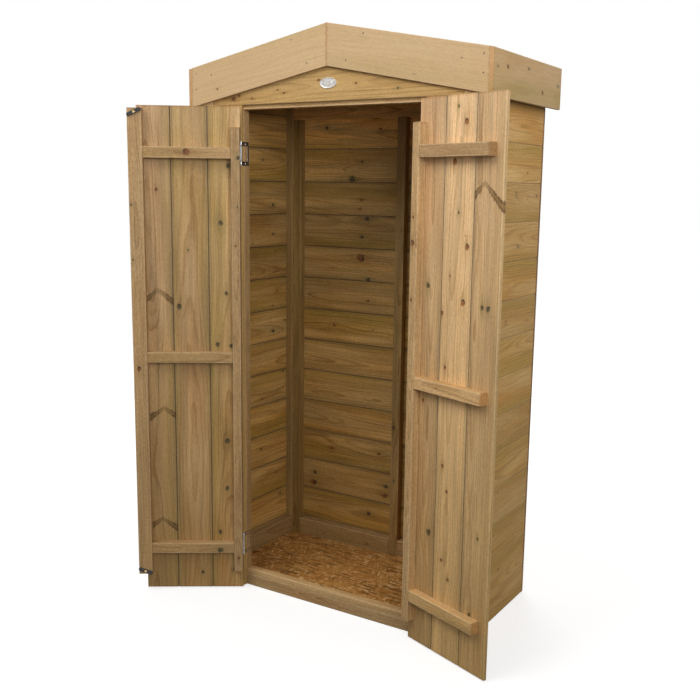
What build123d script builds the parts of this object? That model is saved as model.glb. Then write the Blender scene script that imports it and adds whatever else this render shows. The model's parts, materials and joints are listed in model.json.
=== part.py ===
from build123d import *
import math
import os

# Garden storage cabinet: a narrow apex-roofed timber store with a pair of ledged doors.
# Millimetres, X to the right, Y to the back, Z up; the origin is under the middle of the floor.

# Body and boarding
body_width = 994
body_depth = 498
board_thick = 12
board_cover = 118
first_course = 94
joint_gap = 0.3
vee = 2
tongue_thick = 4
tongue_long = 6
tongue_play = 0.25

# Framing timbers
batten_wide = 34
batten_deep = 28
rail_tall = 63
top_rail_tall = 45

# Floor
bearer_wide = 38
bearer_tall = 16
floor_thick = 11
floor_play = 0.5

# Roof
eaves_height = 1748
roof_rise = 104
roof_overhang = 43
barge_tall = 124
fascia_tall = 126
deck_thick = 12
deck_below_trim = 8
felt_thick = 2
ridge_wide = 28
ridge_tall = 45
fit_gap = 0.3

# Door opening
base_rail_tall = 36
sill_rail_tall = 24
header_drop = 134
header_lap = 7
gable_gap = 6
corner_strip_wide = 47
plaque_long = 60
plaque_tall = 32
plaque_thick = 2
plaque_rise = 53

# Doors
left_open = 145.5
right_open = 159.5
hinge_gap = 2
meeting_gap = 3
door_stand = 0.5
door_bottom = 4
stile_wide = 28
stile_end_gap = 66
ledge_tall = 36
top_ledge_drop = 146
bottom_ledge_rise = 151
right_ledge_short = 28
strip_wide = 46
strip_lap = 24
strip_relief = 0.6
strip_end_gap = 3.5

# Hinges
hinge_tall = 76
hinge_deep = 40
hinge_window_tall = 48
hinge_spine = 7
plate_gauge = 1.5
axis_proud = 4.5
knuckle_radius = 3.6
pin_radius = 2
pin_head_radius = 3
pin_head_tall = 1.2
turning_play = 0.05
end_play = 0.3
nest_play = 1

# Screws and nails
screw_head_radius = 3
screw_shank_radius = 1.5
screw_shank_long = 10
screw_play = 0.1
frame_screw_in = 22
leaf_screw_in = 24
leaf_screw_inset = 10
nail_head_radius = 2.5
nail_head_tall = 0.6
nail_shank_radius = 1.4
end_nails = ((18, 22), (18, 72), (83, 42))
ridge_nails = ((128, 16), (70, 98))

# Turn buttons
button_long = 50
button_wide = 12
button_thick = 2.5
top_button_drop = 12.5
bottom_button_rise = 11.5
top_button_tilt = 25
bottom_button_tilt = -20
collar_radius = 5
collar_tall = 1.3
neck_radius = 2.5
button_head_radius = 4
button_head_tall = 1.6
button_play = 0.2

# Hasp and staple
hasp_rise = 90
hasp_leaf_long = 38
hasp_tall = 42
hasp_edge_gap = 15
hasp_axis_proud = 3
hasp_knuckle_radius = 2.6
hasp_knuckle_tall = 14
hasp_pin_radius = 1.3
hasp_screw_in = 10
hasp_screw_rise = 13
strap_long = 76
strap_tall = 30
strap_tip_radius = 10
slot_far = 51.5
slot_long = 26
slot_tall = 9
staple_plate_long = 50
staple_plate_tall = 26
staple_screw_out = 19
staple_wide = 16
staple_proud = 15
staple_bend = 6
staple_wire_radius = 2.2

# Faces and levels that follow from the sizes
half_width = body_width / 2
front_face = -body_depth / 2
back_face = body_depth / 2
frame_front = front_face + board_thick
frame_back = frame_front + batten_deep
back_inside = back_face - board_thick
back_frame = back_inside - batten_deep
side_inside = half_width - board_thick
side_frame = side_inside - batten_deep
floor_top = bearer_tall + floor_thick
half_roof = half_width + roof_overhang
apex_height = eaves_height + roof_rise
trim_inside = half_roof - board_thick
trim_front = front_face - board_thick
trim_back = back_face + board_thick
slope = roof_rise / half_roof
rafter_factor = math.hypot(1, slope)
deck_top_drop = deck_below_trim
deck_under_drop = deck_below_trim + deck_thick * rafter_factor
felt_top_drop = deck_below_trim - felt_thick * rafter_factor
cladding_edge = half_width - corner_strip_wide
half_opening = cladding_edge - board_cover
sill_top = base_rail_tall + sill_rail_tall
header_bottom = eaves_height - header_drop
door_top = header_bottom + header_lap
gable_bottom = door_top + gable_gap
plaque_height = gable_bottom + plaque_rise
header_top = header_bottom + top_rail_tall
rail_top = floor_top + rail_tall
axis_x = half_opening - hinge_gap / 2
axis_y = front_face - axis_proud
door_edge = hinge_gap / 2
door_outer = axis_proud - door_stand
door_inner = door_outer + board_thick
door_frame = door_inner + batten_deep
free_edge = axis_x - meeting_gap / 2
leaf_width = free_edge - door_edge
outer_board = (leaf_width - board_cover) / 2
stile_bottom = door_bottom + stile_end_gap
stile_top = door_top - stile_end_gap
bottom_ledge = door_bottom + bottom_ledge_rise
top_ledge = door_top - top_ledge_drop
middle_ledge = (bottom_ledge + top_ledge) / 2
ledge_heights = (bottom_ledge, middle_ledge, top_ledge)
hinge_heights = (bottom_ledge, top_ledge)
nail_places = [(trim_inside - run, drop) for run, drop in end_nails] + list(ridge_nails)
hasp_height = middle_ledge + hasp_rise
strip_bottom = sill_top + strip_end_gap
strip_top = header_bottom - strip_end_gap
strip_inside = free_edge + strip_lap - strip_wide
strip_tip = free_edge + strip_lap
strip_middle = (strip_inside + strip_tip) / 2
half_ledge = ledge_tall / 2
half_hinge = hinge_tall / 2
half_window = hinge_window_tall / 2
frame_screw_rise = (half_hinge + half_window) / 2
leaf_screw_rise = half_window - leaf_screw_inset
plate_start = (pin_radius + knuckle_radius) / 2
window_end = hinge_deep - hinge_spine
pilot_radius = screw_shank_radius + screw_play
hasp_axis = free_edge - hasp_edge_gap
hasp_axis_in = door_outer - hasp_axis_proud
staple_along = 2 * axis_x - hasp_axis - slot_far

os.makedirs("parts", exist_ok=True)


def trim_line(x, drop):
    """Height of a line that runs parallel to the roof trim, a given drop below its top edge."""
    return apex_height - slope * abs(x) - drop


def mirrored(side, inner, outer):
    """Limits along X of a piece on the left (side -1) or the right (side 1)."""
    return min(side * inner, side * outer), max(side * inner, side * outer)


def pilot(seat, radius, depth):
    """A blind hole sunk from a seat whose normal points out of the piece."""
    with BuildSketch(seat) as mouth:
        Circle(radius)
    extrude(mouth.sketch, amount=-depth, mode=Mode.SUBTRACT)


def timbers(name, frame, spans, seats=()):
    """Squared lengths of wood, each between three pairs of limits in a frame."""
    with BuildPart() as wood:
        for across, along, up in spans:
            with BuildSketch(frame.offset(up[0])):
                with Locations((across[0], along[0])):
                    Rectangle(across[1] - across[0], along[1] - along[0], align=(Align.MIN, Align.MIN))
            extrude(amount=up[1] - up[0])
        for seat in seats:
            pilot(seat, pilot_radius, screw_shank_long)
    wood.part.label = name
    export_step(wood.part, f"parts/{name}.step")


def board_outline(start, width, grooved, tongued):
    """Section of one matched board: across from its start, and in from its outer face."""
    end = start + width - joint_gap
    near_vee = vee if grooved else 0
    far_vee = vee if tongued else 0
    middle = board_thick / 2
    half_tongue = tongue_thick / 2
    half_groove = half_tongue + tongue_play
    groove_end = start + tongue_long + tongue_play
    outline = [(start + near_vee, 0), (end - far_vee, 0)]
    if tongued:
        outline += [
            (end, far_vee),
            (end, middle - half_tongue),
            (end + tongue_long, middle - half_tongue),
            (end + tongue_long, middle + half_tongue),
            (end, middle + half_tongue),
        ]
    outline += [(end, board_thick), (start, board_thick)]
    if grooved:
        outline += [
            (start, middle + half_groove),
            (groove_end, middle + half_groove),
            (groove_end, middle - half_groove),
            (start, middle - half_groove),
            (start, near_vee),
        ]
    return outline


def boarding(name, frame, widths, length, under_roof=False, seats=()):
    """Matched boards side by side along the frame's X, their outer faces on the frame's XZ plane."""
    last = len(widths) - 1
    with BuildPart() as boards:
        for index, width in enumerate(widths):
            start = sum(widths[:index])
            with BuildSketch(frame):
                with BuildLine():
                    Polyline(*board_outline(start, width, index > 0, index < last), close=True)
                make_face()
            extrude(amount=length)
        if under_roof:
            with BuildSketch(Plane.XZ.offset(back_face)):
                with BuildLine():
                    Polyline(
                        (-half_roof, 0),
                        (half_roof, 0),
                        (half_roof, trim_line(half_roof, deck_under_drop + fit_gap)),
                        (0, trim_line(0, deck_under_drop + fit_gap)),
                        (-half_roof, trim_line(half_roof, deck_under_drop + fit_gap)),
                        close=True,
                    )
                make_face()
            extrude(amount=-body_depth, mode=Mode.INTERSECT)
        for seat in seats:
            pilot(seat, pilot_radius, screw_shank_long)
    boards.part.label = name
    export_step(boards.part, f"parts/{name}.step")


def prisms(name, outlines, front, back, seats=()):
    """Outlines in X and Z carried from the front to the back."""
    with BuildPart() as prism:
        for outline in outlines:
            with BuildSketch(Plane(origin=(0, back, 0), x_dir=(1, 0, 0), z_dir=(0, -1, 0))):
                with BuildLine():
                    Polyline(*outline, close=True)
                make_face()
            extrude(amount=back - front)
        for seat in seats:
            pilot(seat, nail_shank_radius + screw_play, board_thick)
    prism.part.label = name
    export_step(prism.part, f"parts/{name}.step")


def sloped(side, inner, outer, top_drop, under_drop):
    """Outline of a sloping board between two drops below the roof trim."""
    return (
        (side * inner, trim_line(inner, under_drop)),
        (side * outer, trim_line(outer, under_drop)),
        (side * outer, trim_line(outer, top_drop)),
        (side * inner, trim_line(inner, top_drop)),
    )


def screws(name, seats):
    """Flush-headed screws through a plate: the head fills the plate and the shank is in the wood."""
    with BuildPart() as fixings:
        for seat in seats:
            with BuildSketch(seat):
                Circle(screw_head_radius)
            extrude(amount=plate_gauge)
            with BuildSketch(seat):
                Circle(screw_shank_radius)
            extrude(amount=-screw_shank_long + screw_play)
    fixings.part.label = name
    export_step(fixings.part, f"parts/{name}.step")


# Floor on its bearers
half_bearer = bearer_wide / 2
floor_across = (-side_inside + floor_play, side_inside - floor_play)
bearer_rows = (frame_back + half_bearer, 0, back_inside - half_bearer)
bearer_depths = [(row - half_bearer, row + half_bearer) for row in bearer_rows]
bearer_spans = [(floor_across, depth, (0, bearer_tall)) for depth in bearer_depths]
timbers("floor_bearers", Plane.XY, bearer_spans)
timbers("floor_panel", Plane.XY, [(floor_across, (frame_back, back_inside), (bearer_tall, floor_top))])

# Walls: boards, then the battens and rails behind them
wall_top = trim_line(half_width, deck_under_drop + fit_gap)
full_courses = round((wall_top - first_course) / board_cover) - 1
side_courses = [first_course] + full_courses * [board_cover]
side_courses.append(wall_top - sum(side_courses) + joint_gap)
back_top = trim_line(0, deck_under_drop)
back_full = round((back_top - first_course) / board_cover) - 1
back_courses = [first_course] + back_full * [board_cover]
back_courses.append(back_top - sum(back_courses))
side_length = 2 * back_inside
left_wall = Plane(origin=(-half_width, -back_inside, 0), x_dir=(0, 0, 1), z_dir=(0, 1, 0))
right_wall = Plane(origin=(half_width, back_inside, 0), x_dir=(0, 0, 1), z_dir=(0, -1, 0))
back_wall = Plane(origin=(-half_width, back_face, 0), x_dir=(0, 0, 1), z_dir=(1, 0, 0))
boarding("left_wall_boards", left_wall, side_courses, side_length)
boarding("right_wall_boards", right_wall, side_courses, side_length)
boarding("back_wall_boards", back_wall, back_courses, body_width, under_roof=True)

eaves_rail_top = trim_line(side_inside, deck_under_drop + fit_gap)
eaves_rail_bottom = eaves_rail_top - top_rail_tall
front_batten_back = frame_front + batten_wide
rear_batten_front = back_inside - batten_wide
for side, hand_name in ((-1, "left"), (1, "right")):
    wall_side = mirrored(side, side_frame, side_inside)
    between = (front_batten_back, rear_batten_front)
    corner_front = (frame_front, front_batten_back)
    corner_rear = (rear_batten_front, back_inside)
    corner_up = (floor_top, eaves_rail_top)
    timbers(f"{hand_name}_front_batten", Plane.XY, [(wall_side, corner_front, corner_up)])
    timbers(f"{hand_name}_rear_batten", Plane.XY, [(wall_side, corner_rear, corner_up)])
    timbers(f"{hand_name}_bottom_rail", Plane.XY, [(wall_side, between, (floor_top, rail_top))])
    timbers(f"{hand_name}_eaves_rail", Plane.XY, [(wall_side, between, (eaves_rail_bottom, eaves_rail_top))])

half_batten = batten_wide / 2
back_batten_edge = side_frame - batten_wide
back_depth = (back_frame, back_inside)
back_up = (floor_top, header_bottom)
timbers("back_left_batten", Plane.XY, [((-side_frame, -back_batten_edge), back_depth, back_up)])
timbers("back_middle_batten", Plane.XY, [((-half_batten, half_batten), back_depth, back_up)])
timbers("back_right_batten", Plane.XY, [((back_batten_edge, side_frame), back_depth, back_up)])
back_gaps = [mirrored(side, half_batten, back_batten_edge) for side in (-1, 1)]
timbers("back_bottom_rails", Plane.XY, [(gap, back_depth, (floor_top, rail_top)) for gap in back_gaps])
timbers("back_top_rail", Plane.XY, [((-side_frame, side_frame), back_depth, (header_bottom, header_top))])

# Front frame around the opening, with the boards nailed over it
front_depth = (frame_front, frame_back)
timbers("front_base_rail", Plane.XY, [((-side_frame, side_frame), front_depth, (0, base_rail_tall))])
timbers("sill_rail", Plane.XY, [((-half_opening, half_opening), front_depth, (base_rail_tall, sill_top))])
timbers("header_rail", Plane.XY, [((-side_frame, side_frame), front_depth, (header_bottom, header_top))])


def frame_seats(side):
    """Where the hinge screws of one side enter the door post, facing into the opening."""
    return [
        Plane(
            origin=(side * half_opening, axis_y + frame_screw_in, height + rise),
            x_dir=(0, 1, 0),
            z_dir=(-side, 0, 0),
        )
        for height in hinge_heights
        for rise in (-frame_screw_rise, frame_screw_rise)
    ]


for side, hand_name in ((-1, "left"), (1, "right")):
    post_across = mirrored(side, half_opening, half_opening + batten_wide)
    post_span = (post_across, front_depth, (base_rail_tall, header_bottom))
    timbers(f"{hand_name}_door_post", Plane.XY, [post_span], seats=frame_seats(side))
    board_across = mirrored(side, half_opening, cladding_edge)
    board_span = (board_across, (front_face, frame_front), (0, gable_bottom - joint_gap))
    timbers(f"{hand_name}_side_board", Plane.XY, [board_span])
    strip_outline = (
        (side * cladding_edge, 0),
        (side * half_width, 0),
        (side * half_width, trim_line(half_width, deck_under_drop + fit_gap)),
        (side * cladding_edge, trim_line(cladding_edge, deck_under_drop + fit_gap)),
    )
    prisms(f"{hand_name}_corner_strip", [strip_outline], front_face, frame_front)

gable_wall = Plane(origin=(cladding_edge, front_face, gable_bottom), x_dir=(0, 0, 1), z_dir=(-1, 0, 0))
gable_courses = (board_cover, back_top - gable_bottom - board_cover)
boarding("gable_boards", gable_wall, gable_courses, 2 * cladding_edge, under_roof=True)

with BuildPart() as gable_plaque:
    with BuildSketch(Plane(origin=(0, front_face, plaque_height), x_dir=(1, 0, 0), z_dir=(0, -1, 0))):
        Ellipse(plaque_long / 2, plaque_tall / 2)
    extrude(amount=plaque_thick)
gable_plaque.part.label = "gable_plaque"
export_step(gable_plaque.part, "parts/gable_plaque.step")

# Roof: ridge beam, deck, felt and trim
ridge_top = trim_line(ridge_wide / 2, deck_under_drop)
half_ridge = ridge_wide / 2
ridge_up = (ridge_top - ridge_tall, ridge_top)
timbers("ridge_beam", Plane.XY, [((-half_ridge, half_ridge), (frame_front, back_inside), ridge_up)])
half_fit = fit_gap / 2
felt_outlines = [sloped(side, half_fit, trim_inside, felt_top_drop, deck_top_drop) for side in (-1, 1)]
prisms("roof_felt", felt_outlines, front_face, back_face)


def nail_seats(side, face, outward):
    """Nail places on one bargeboard, given from the ridge along X and down from its top edge."""
    return [
        Plane(origin=(side * run, face, trim_line(run, drop)), x_dir=(1, 0, 0), z_dir=(0, outward, 0))
        for run, drop in nail_places
    ]


all_nails = []
for side, hand_name in ((-1, "left"), (1, "right")):
    deck = sloped(side, half_fit, trim_inside, deck_top_drop, deck_under_drop)
    prisms(f"{hand_name}_roof_deck", [deck], front_face, back_face)
    barge = sloped(side, half_fit, trim_inside, 0, barge_tall)
    front_seats = nail_seats(side, trim_front, -1)
    rear_seats = nail_seats(side, trim_back, 1)
    prisms(f"front_{hand_name}_bargeboard", [barge], trim_front, front_face, seats=front_seats)
    prisms(f"rear_{hand_name}_bargeboard", [barge], back_face, trim_back, seats=rear_seats)
    all_nails += front_seats + rear_seats
    fascia_across = mirrored(side, trim_inside, half_roof)
    fascia_up = (eaves_height - fascia_tall, eaves_height)
    timbers(f"{hand_name}_fascia", Plane.XY, [(fascia_across, (trim_front, trim_back), fascia_up)])

with BuildPart() as trim_nails:
    for seat in all_nails:
        with BuildSketch(seat):
            Circle(nail_head_radius)
        extrude(amount=nail_head_tall)
        with BuildSketch(seat):
            Circle(nail_shank_radius)
        extrude(amount=-board_thick + screw_play)
trim_nails.part.label = "trim_nails"
export_step(trim_nails.part, "parts/trim_nails.step")

# Doors stand open: each leaf has a frame on its hinge axis, X along the closed leaf and Y inwards
left_leaf = Plane(origin=(-axis_x, axis_y, 0)).rotated((0, 0, -left_open))
right_leaf = Plane(origin=(axis_x, axis_y, 0)).rotated((0, 0, right_open))
door_hands = ((1, "left", left_leaf), (-1, "right", right_leaf))


def leaf_seats(hand, leaf):
    """Where the hinge screws of one door enter its hinge edge, facing the post."""
    return [
        Plane(
            origin=leaf.from_local_coords((hand * door_edge, leaf_screw_in, height + rise)),
            x_dir=leaf.y_dir,
            z_dir=leaf.x_dir * -hand,
        )
        for height in hinge_heights
        for rise in (-leaf_screw_rise, leaf_screw_rise)
    ]


def face_seats(leaf, places):
    """Screw seats on the outer face of a door, each given along the leaf and up."""
    return [
        Plane(origin=leaf.from_local_coords((along, door_outer, up)), x_dir=(0, 0, 1), z_dir=leaf.y_dir * -1)
        for along, up in places
    ]


hasp_leaf_start = hasp_axis - hasp_knuckle_radius - hasp_leaf_long
staple_places = [(staple_along + out, hasp_height) for out in (-staple_screw_out, staple_screw_out)]
hasp_places = [
    (-(hasp_leaf_start + hasp_screw_in + step * hasp_leaf_long / 2), hasp_height + rise)
    for step in (0, 1)
    for rise in (-hasp_screw_rise, hasp_screw_rise)
]
staple_seats = face_seats(left_leaf, staple_places)
hasp_seats = face_seats(right_leaf, hasp_places)
outer_seats = {"left": staple_seats, "right": hasp_seats}
ledge_ends = {"left": strip_inside, "right": free_edge - right_ledge_short}
door_widths = (outer_board, board_cover, outer_board + joint_gap)

for hand, hand_name, leaf in door_hands:
    board_start = min(hand * door_edge, hand * free_edge)
    board_foot = leaf.from_local_coords((board_start, door_outer, door_bottom))
    board_frame = Plane(origin=board_foot, x_dir=leaf.x_dir, z_dir=leaf.z_dir)
    door_tall = door_top - door_bottom
    boarding(f"{hand_name}_door_boards", board_frame, door_widths, door_tall, seats=outer_seats[hand_name])
    frame_depth = (door_inner, door_frame)
    stile_span = (mirrored(hand, door_edge, door_edge + stile_wide), frame_depth, (stile_bottom, stile_top))
    timbers(f"{hand_name}_door_stile", leaf, [stile_span], seats=leaf_seats(hand, leaf))
    ledge_across = mirrored(hand, door_edge + stile_wide, ledge_ends[hand_name])
    ledge_ups = [(height - half_ledge, height + half_ledge) for height in ledge_heights]
    ledge_spans = [(ledge_across, frame_depth, ledge_up) for ledge_up in ledge_ups]
    timbers(f"{hand_name}_door_ledges", leaf, ledge_spans)

# Meeting strip on the left door, relieved where it laps behind the right door
top_pivot = strip_top - top_button_drop
bottom_pivot = strip_bottom + bottom_button_rise
button_places = [(strip_middle, door_frame, height) for height in (top_pivot, bottom_pivot)]
button_pivots = [left_leaf.from_local_coords(place) for place in button_places]
button_seats = [Plane(origin=pivot, x_dir=left_leaf.x_dir, z_dir=left_leaf.y_dir) for pivot in button_pivots]
with BuildPart() as meeting_strip:
    with BuildSketch(left_leaf.offset(strip_bottom)):
        with BuildLine():
            Polyline(
                (strip_inside, door_inner),
                (free_edge, door_inner),
                (free_edge, door_inner + strip_relief),
                (strip_tip, door_inner + strip_relief),
                (strip_tip, door_frame),
                (strip_inside, door_frame),
                close=True,
            )
        make_face()
    extrude(amount=strip_top - strip_bottom)
    for seat in button_seats:
        pilot(seat, pilot_radius, screw_shank_long)
meeting_strip.part.label = "meeting_strip"
export_step(meeting_strip.part, "parts/meeting_strip.step")

# Turn buttons on shouldered screws
button_stand = collar_tall + button_play
button_tilts = (("top_turn_button", top_button_tilt), ("bottom_turn_button", bottom_button_tilt))
for seat, (button_name, tilt) in zip(button_seats, button_tilts):
    with BuildPart() as button:
        with BuildSketch(seat.offset(button_stand)):
            SlotOverall(button_long, button_wide, rotation=tilt)
            Circle(neck_radius + turning_play, mode=Mode.SUBTRACT)
        extrude(amount=button_thick)
    button.part.label = button_name
    export_step(button.part, f"parts/{button_name}.step")

neck_tall = button_stand + button_thick + button_play
with BuildPart() as button_screws:
    for seat in button_seats:
        with BuildSketch(seat):
            Circle(screw_shank_radius)
        extrude(amount=-screw_shank_long + screw_play)
        with BuildSketch(seat):
            Circle(collar_radius)
        extrude(amount=collar_tall)
        with BuildSketch(seat):
            Circle(neck_radius)
        extrude(amount=neck_tall)
        with BuildSketch(seat.offset(neck_tall)):
            Circle(button_head_radius)
        extrude(amount=button_head_tall)
button_screws.part.label = "button_screws"
export_step(button_screws.part, "parts/button_screws.step")

# Flush hinges: the frame leaf is cut out so that the door leaf closes inside it
plate_middle = (plate_start + hinge_deep) / 2
window_middle = (plate_start + window_end) / 2
knuckle_end = half_window + end_play
end_knuckle = half_hinge - knuckle_end
with BuildPart() as hinge_frame_leaves:
    for side in (-1, 1):
        for height in hinge_heights:
            post_spot = (side * half_opening, axis_y, height)
            post_face = Plane(origin=post_spot, x_dir=(0, 1, 0), z_dir=(-side, 0, 0))
            with BuildSketch(post_face):
                with Locations((plate_middle, 0)):
                    Rectangle(hinge_deep - plate_start, hinge_tall)
                with Locations((window_middle, 0)):
                    Rectangle(window_end - plate_start, 2 * knuckle_end, mode=Mode.SUBTRACT)
                with Locations((frame_screw_in, -frame_screw_rise), (frame_screw_in, frame_screw_rise)):
                    Circle(screw_head_radius + screw_play, mode=Mode.SUBTRACT)
            extrude(amount=plate_gauge)
            for base in (height - half_hinge, height + knuckle_end):
                with BuildSketch(Plane(origin=(side * axis_x, axis_y, base))):
                    Circle(knuckle_radius)
                extrude(amount=end_knuckle)
                with BuildSketch(Plane(origin=(side * axis_x, axis_y, base))):
                    Circle(pin_radius + turning_play)
                extrude(amount=end_knuckle, mode=Mode.SUBTRACT)
hinge_frame_leaves.part.label = "hinge_frame_leaves"
export_step(hinge_frame_leaves.part, "parts/hinge_frame_leaves.step")

leaf_end = window_end - nest_play
leaf_tall = hinge_window_tall - 2 * nest_play
for hand, hand_name, leaf in door_hands:
    with BuildPart() as hinge_leaves:
        for height in hinge_heights:
            edge_face = Plane(
                origin=leaf.from_local_coords((hand * door_edge, 0, height)),
                x_dir=leaf.y_dir,
                z_dir=leaf.x_dir * -hand,
            )
            with BuildSketch(edge_face):
                with Locations(((plate_start + leaf_end) / 2, 0)):
                    Rectangle(leaf_end - plate_start, leaf_tall)
                with Locations((leaf_screw_in, -leaf_screw_rise), (leaf_screw_in, leaf_screw_rise)):
                    Circle(screw_head_radius + screw_play, mode=Mode.SUBTRACT)
            extrude(amount=plate_gauge)
            with BuildSketch(leaf.offset(height - half_window)):
                Circle(knuckle_radius)
            extrude(amount=hinge_window_tall)
            with BuildSketch(leaf.offset(height - half_window)):
                Circle(pin_radius + turning_play)
            extrude(amount=hinge_window_tall, mode=Mode.SUBTRACT)
    hinge_leaves.part.label = f"{hand_name}_hinge_leaves"
    export_step(hinge_leaves.part, f"parts/{hand_name}_hinge_leaves.step")

with BuildPart() as hinge_pins:
    for side in (-1, 1):
        for height in hinge_heights:
            with BuildSketch(Plane(origin=(side * axis_x, axis_y, height - half_hinge))):
                Circle(pin_radius)
            extrude(amount=hinge_tall)
            with BuildSketch(Plane(origin=(side * axis_x, axis_y, height + half_hinge))):
                Circle(pin_head_radius)
            extrude(amount=pin_head_tall)
hinge_pins.part.label = "hinge_pins"
export_step(hinge_pins.part, "parts/hinge_pins.step")

screws("frame_screws", frame_seats(-1) + frame_seats(1))
screws("left_door_screws", leaf_seats(1, left_leaf) + staple_seats)
screws("right_door_screws", leaf_seats(-1, right_leaf) + hasp_seats)

# Hasp on the outside of the right door, its strap folded back; staple on the left door
hasp_bottom = hasp_height - hasp_tall / 2
hasp_foot = right_leaf.from_local_coords((-hasp_axis, hasp_axis_in, 0))
leaf_middle = right_leaf.from_local_coords((0, door_outer, hasp_height))
strap_middle = right_leaf.from_local_coords((-hasp_axis, hasp_axis_in + plate_gauge / 2, hasp_height))
staple_base = left_leaf.from_local_coords((staple_along, door_outer, hasp_height))
hasp_frame = Plane(origin=hasp_foot, x_dir=right_leaf.x_dir, z_dir=right_leaf.z_dir)
hasp_plane = Plane(origin=leaf_middle, x_dir=right_leaf.x_dir, z_dir=right_leaf.y_dir * -1)
strap_plane = Plane(origin=strap_middle, x_dir=right_leaf.x_dir, z_dir=right_leaf.y_dir * -1)
staple_plane = Plane(origin=staple_base, x_dir=left_leaf.x_dir, z_dir=left_leaf.y_dir * -1)
hasp_reach = (hasp_pin_radius + hasp_knuckle_radius) / 2
strap_start = 2 * hasp_knuckle_radius
strap_knuckle_tall = hasp_tall - 2 * hasp_knuckle_tall - 2 * end_play
with BuildPart() as hasp_leaf:
    with BuildSketch(hasp_plane):
        with Locations((-hasp_axis + hasp_reach, 0)):
            Rectangle(hasp_leaf_long, hasp_tall, align=(Align.MIN, Align.CENTER))
        with Locations(*[(along, up - hasp_height) for along, up in hasp_places]):
            Circle(screw_head_radius + screw_play, mode=Mode.SUBTRACT)
        with Locations((-hasp_axis, 0)):
            Rectangle(2 * strap_start, strap_knuckle_tall + 2 * end_play, mode=Mode.SUBTRACT)
    extrude(amount=plate_gauge)
    for base in (hasp_bottom, hasp_bottom + hasp_tall - hasp_knuckle_tall):
        with BuildSketch(hasp_frame.offset(base)):
            Circle(hasp_knuckle_radius)
        extrude(amount=hasp_knuckle_tall)
    with BuildSketch(hasp_frame.offset(hasp_bottom)):
        Circle(hasp_pin_radius)
    extrude(amount=hasp_tall)
hasp_leaf.part.label = "hasp_leaf"
export_step(hasp_leaf.part, "parts/hasp_leaf.step")

with BuildPart() as hasp_strap:
    with BuildSketch(strap_plane):
        with Locations((hasp_reach, 0)):
            Rectangle(strap_long / 2, strap_knuckle_tall, align=(Align.MIN, Align.CENTER))
        with Locations((strap_start, 0)):
            strap_reach = strap_long - strap_start
            RectangleRounded(strap_reach, strap_tall, strap_tip_radius, align=(Align.MIN, Align.CENTER))
        with Locations((slot_far, 0)):
            SlotOverall(slot_long, slot_tall, mode=Mode.SUBTRACT)
    extrude(amount=plate_gauge)
    knuckle_base = hasp_frame.offset(hasp_height - strap_knuckle_tall / 2)
    with BuildSketch(knuckle_base):
        Circle(hasp_knuckle_radius)
    extrude(amount=strap_knuckle_tall)
    with BuildSketch(knuckle_base):
        Circle(hasp_pin_radius + turning_play)
    extrude(amount=strap_knuckle_tall, mode=Mode.SUBTRACT)
hasp_strap.part.label = "hasp_strap"
export_step(hasp_strap.part, "parts/hasp_strap.step")

staple_level = left_leaf.offset(hasp_height)
half_staple = staple_wide / 2
staple_tip = door_outer - staple_proud
with BuildPart() as staple:
    with BuildSketch(staple_plane):
        Rectangle(staple_plate_long, staple_plate_tall)
        with Locations((-staple_screw_out, 0), (staple_screw_out, 0)):
            Circle(screw_head_radius + screw_play, mode=Mode.SUBTRACT)
    extrude(amount=plate_gauge)
    with BuildLine(staple_level) as staple_path:
        FilletPolyline(
            (staple_along - half_staple, door_outer - plate_gauge / 2),
            (staple_along - half_staple, staple_tip),
            (staple_along + half_staple, staple_tip),
            (staple_along + half_staple, door_outer - plate_gauge / 2),
            radius=staple_bend,
        )
    with BuildSketch(Plane(origin=staple_path.line @ 0, z_dir=staple_path.line % 0)):
        Circle(staple_wire_radius)
    sweep()
staple.part.label = "staple"
export_step(staple.part, "parts/staple.step")
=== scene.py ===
# %% [markdown]
# # A garden storage cabinet of treated softwood
# The real cabinet is a narrow timber store with a small apex roof and a pair of ledged doors that stand
# open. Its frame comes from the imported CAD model, so every board made here takes its place from that frame.
# The lesson makes the boards again with eased edges and gives each one its own piece of grain.

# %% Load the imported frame
import json
from functools import partial

import bpy
import numpy as np
from mathutils import Matrix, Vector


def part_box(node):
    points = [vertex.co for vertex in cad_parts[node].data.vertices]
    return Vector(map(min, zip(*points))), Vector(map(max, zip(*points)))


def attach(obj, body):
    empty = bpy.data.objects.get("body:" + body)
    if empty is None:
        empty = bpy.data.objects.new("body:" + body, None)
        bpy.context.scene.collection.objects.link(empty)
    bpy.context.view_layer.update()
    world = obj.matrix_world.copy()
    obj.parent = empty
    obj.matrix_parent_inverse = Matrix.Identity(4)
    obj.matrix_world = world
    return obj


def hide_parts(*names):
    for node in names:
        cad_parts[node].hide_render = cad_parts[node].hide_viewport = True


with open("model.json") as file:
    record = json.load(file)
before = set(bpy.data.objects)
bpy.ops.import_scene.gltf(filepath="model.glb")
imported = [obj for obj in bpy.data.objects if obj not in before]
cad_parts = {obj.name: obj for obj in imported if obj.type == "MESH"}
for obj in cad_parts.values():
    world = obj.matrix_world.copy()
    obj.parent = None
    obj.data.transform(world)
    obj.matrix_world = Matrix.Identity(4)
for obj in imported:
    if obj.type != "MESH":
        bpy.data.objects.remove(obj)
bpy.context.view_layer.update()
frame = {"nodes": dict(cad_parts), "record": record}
MM = 0.001
body_of = {name: body for body, names in frame["record"]["behaviour"]["bodies"].items() for name in names}
slot_of = {row["node"]: row["material_slot"] for row in frame["record"]["subparts"]}

# %% [markdown]
# ## Camera
# The photograph was taken from the right of the cabinet, a little below its eaves. The camera could be
# placed by eye, but the place, turn and focal length here were fitted to the corners of the cabinet, so
# that a point of the photograph can also be traced back to the board that it shows.

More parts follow.
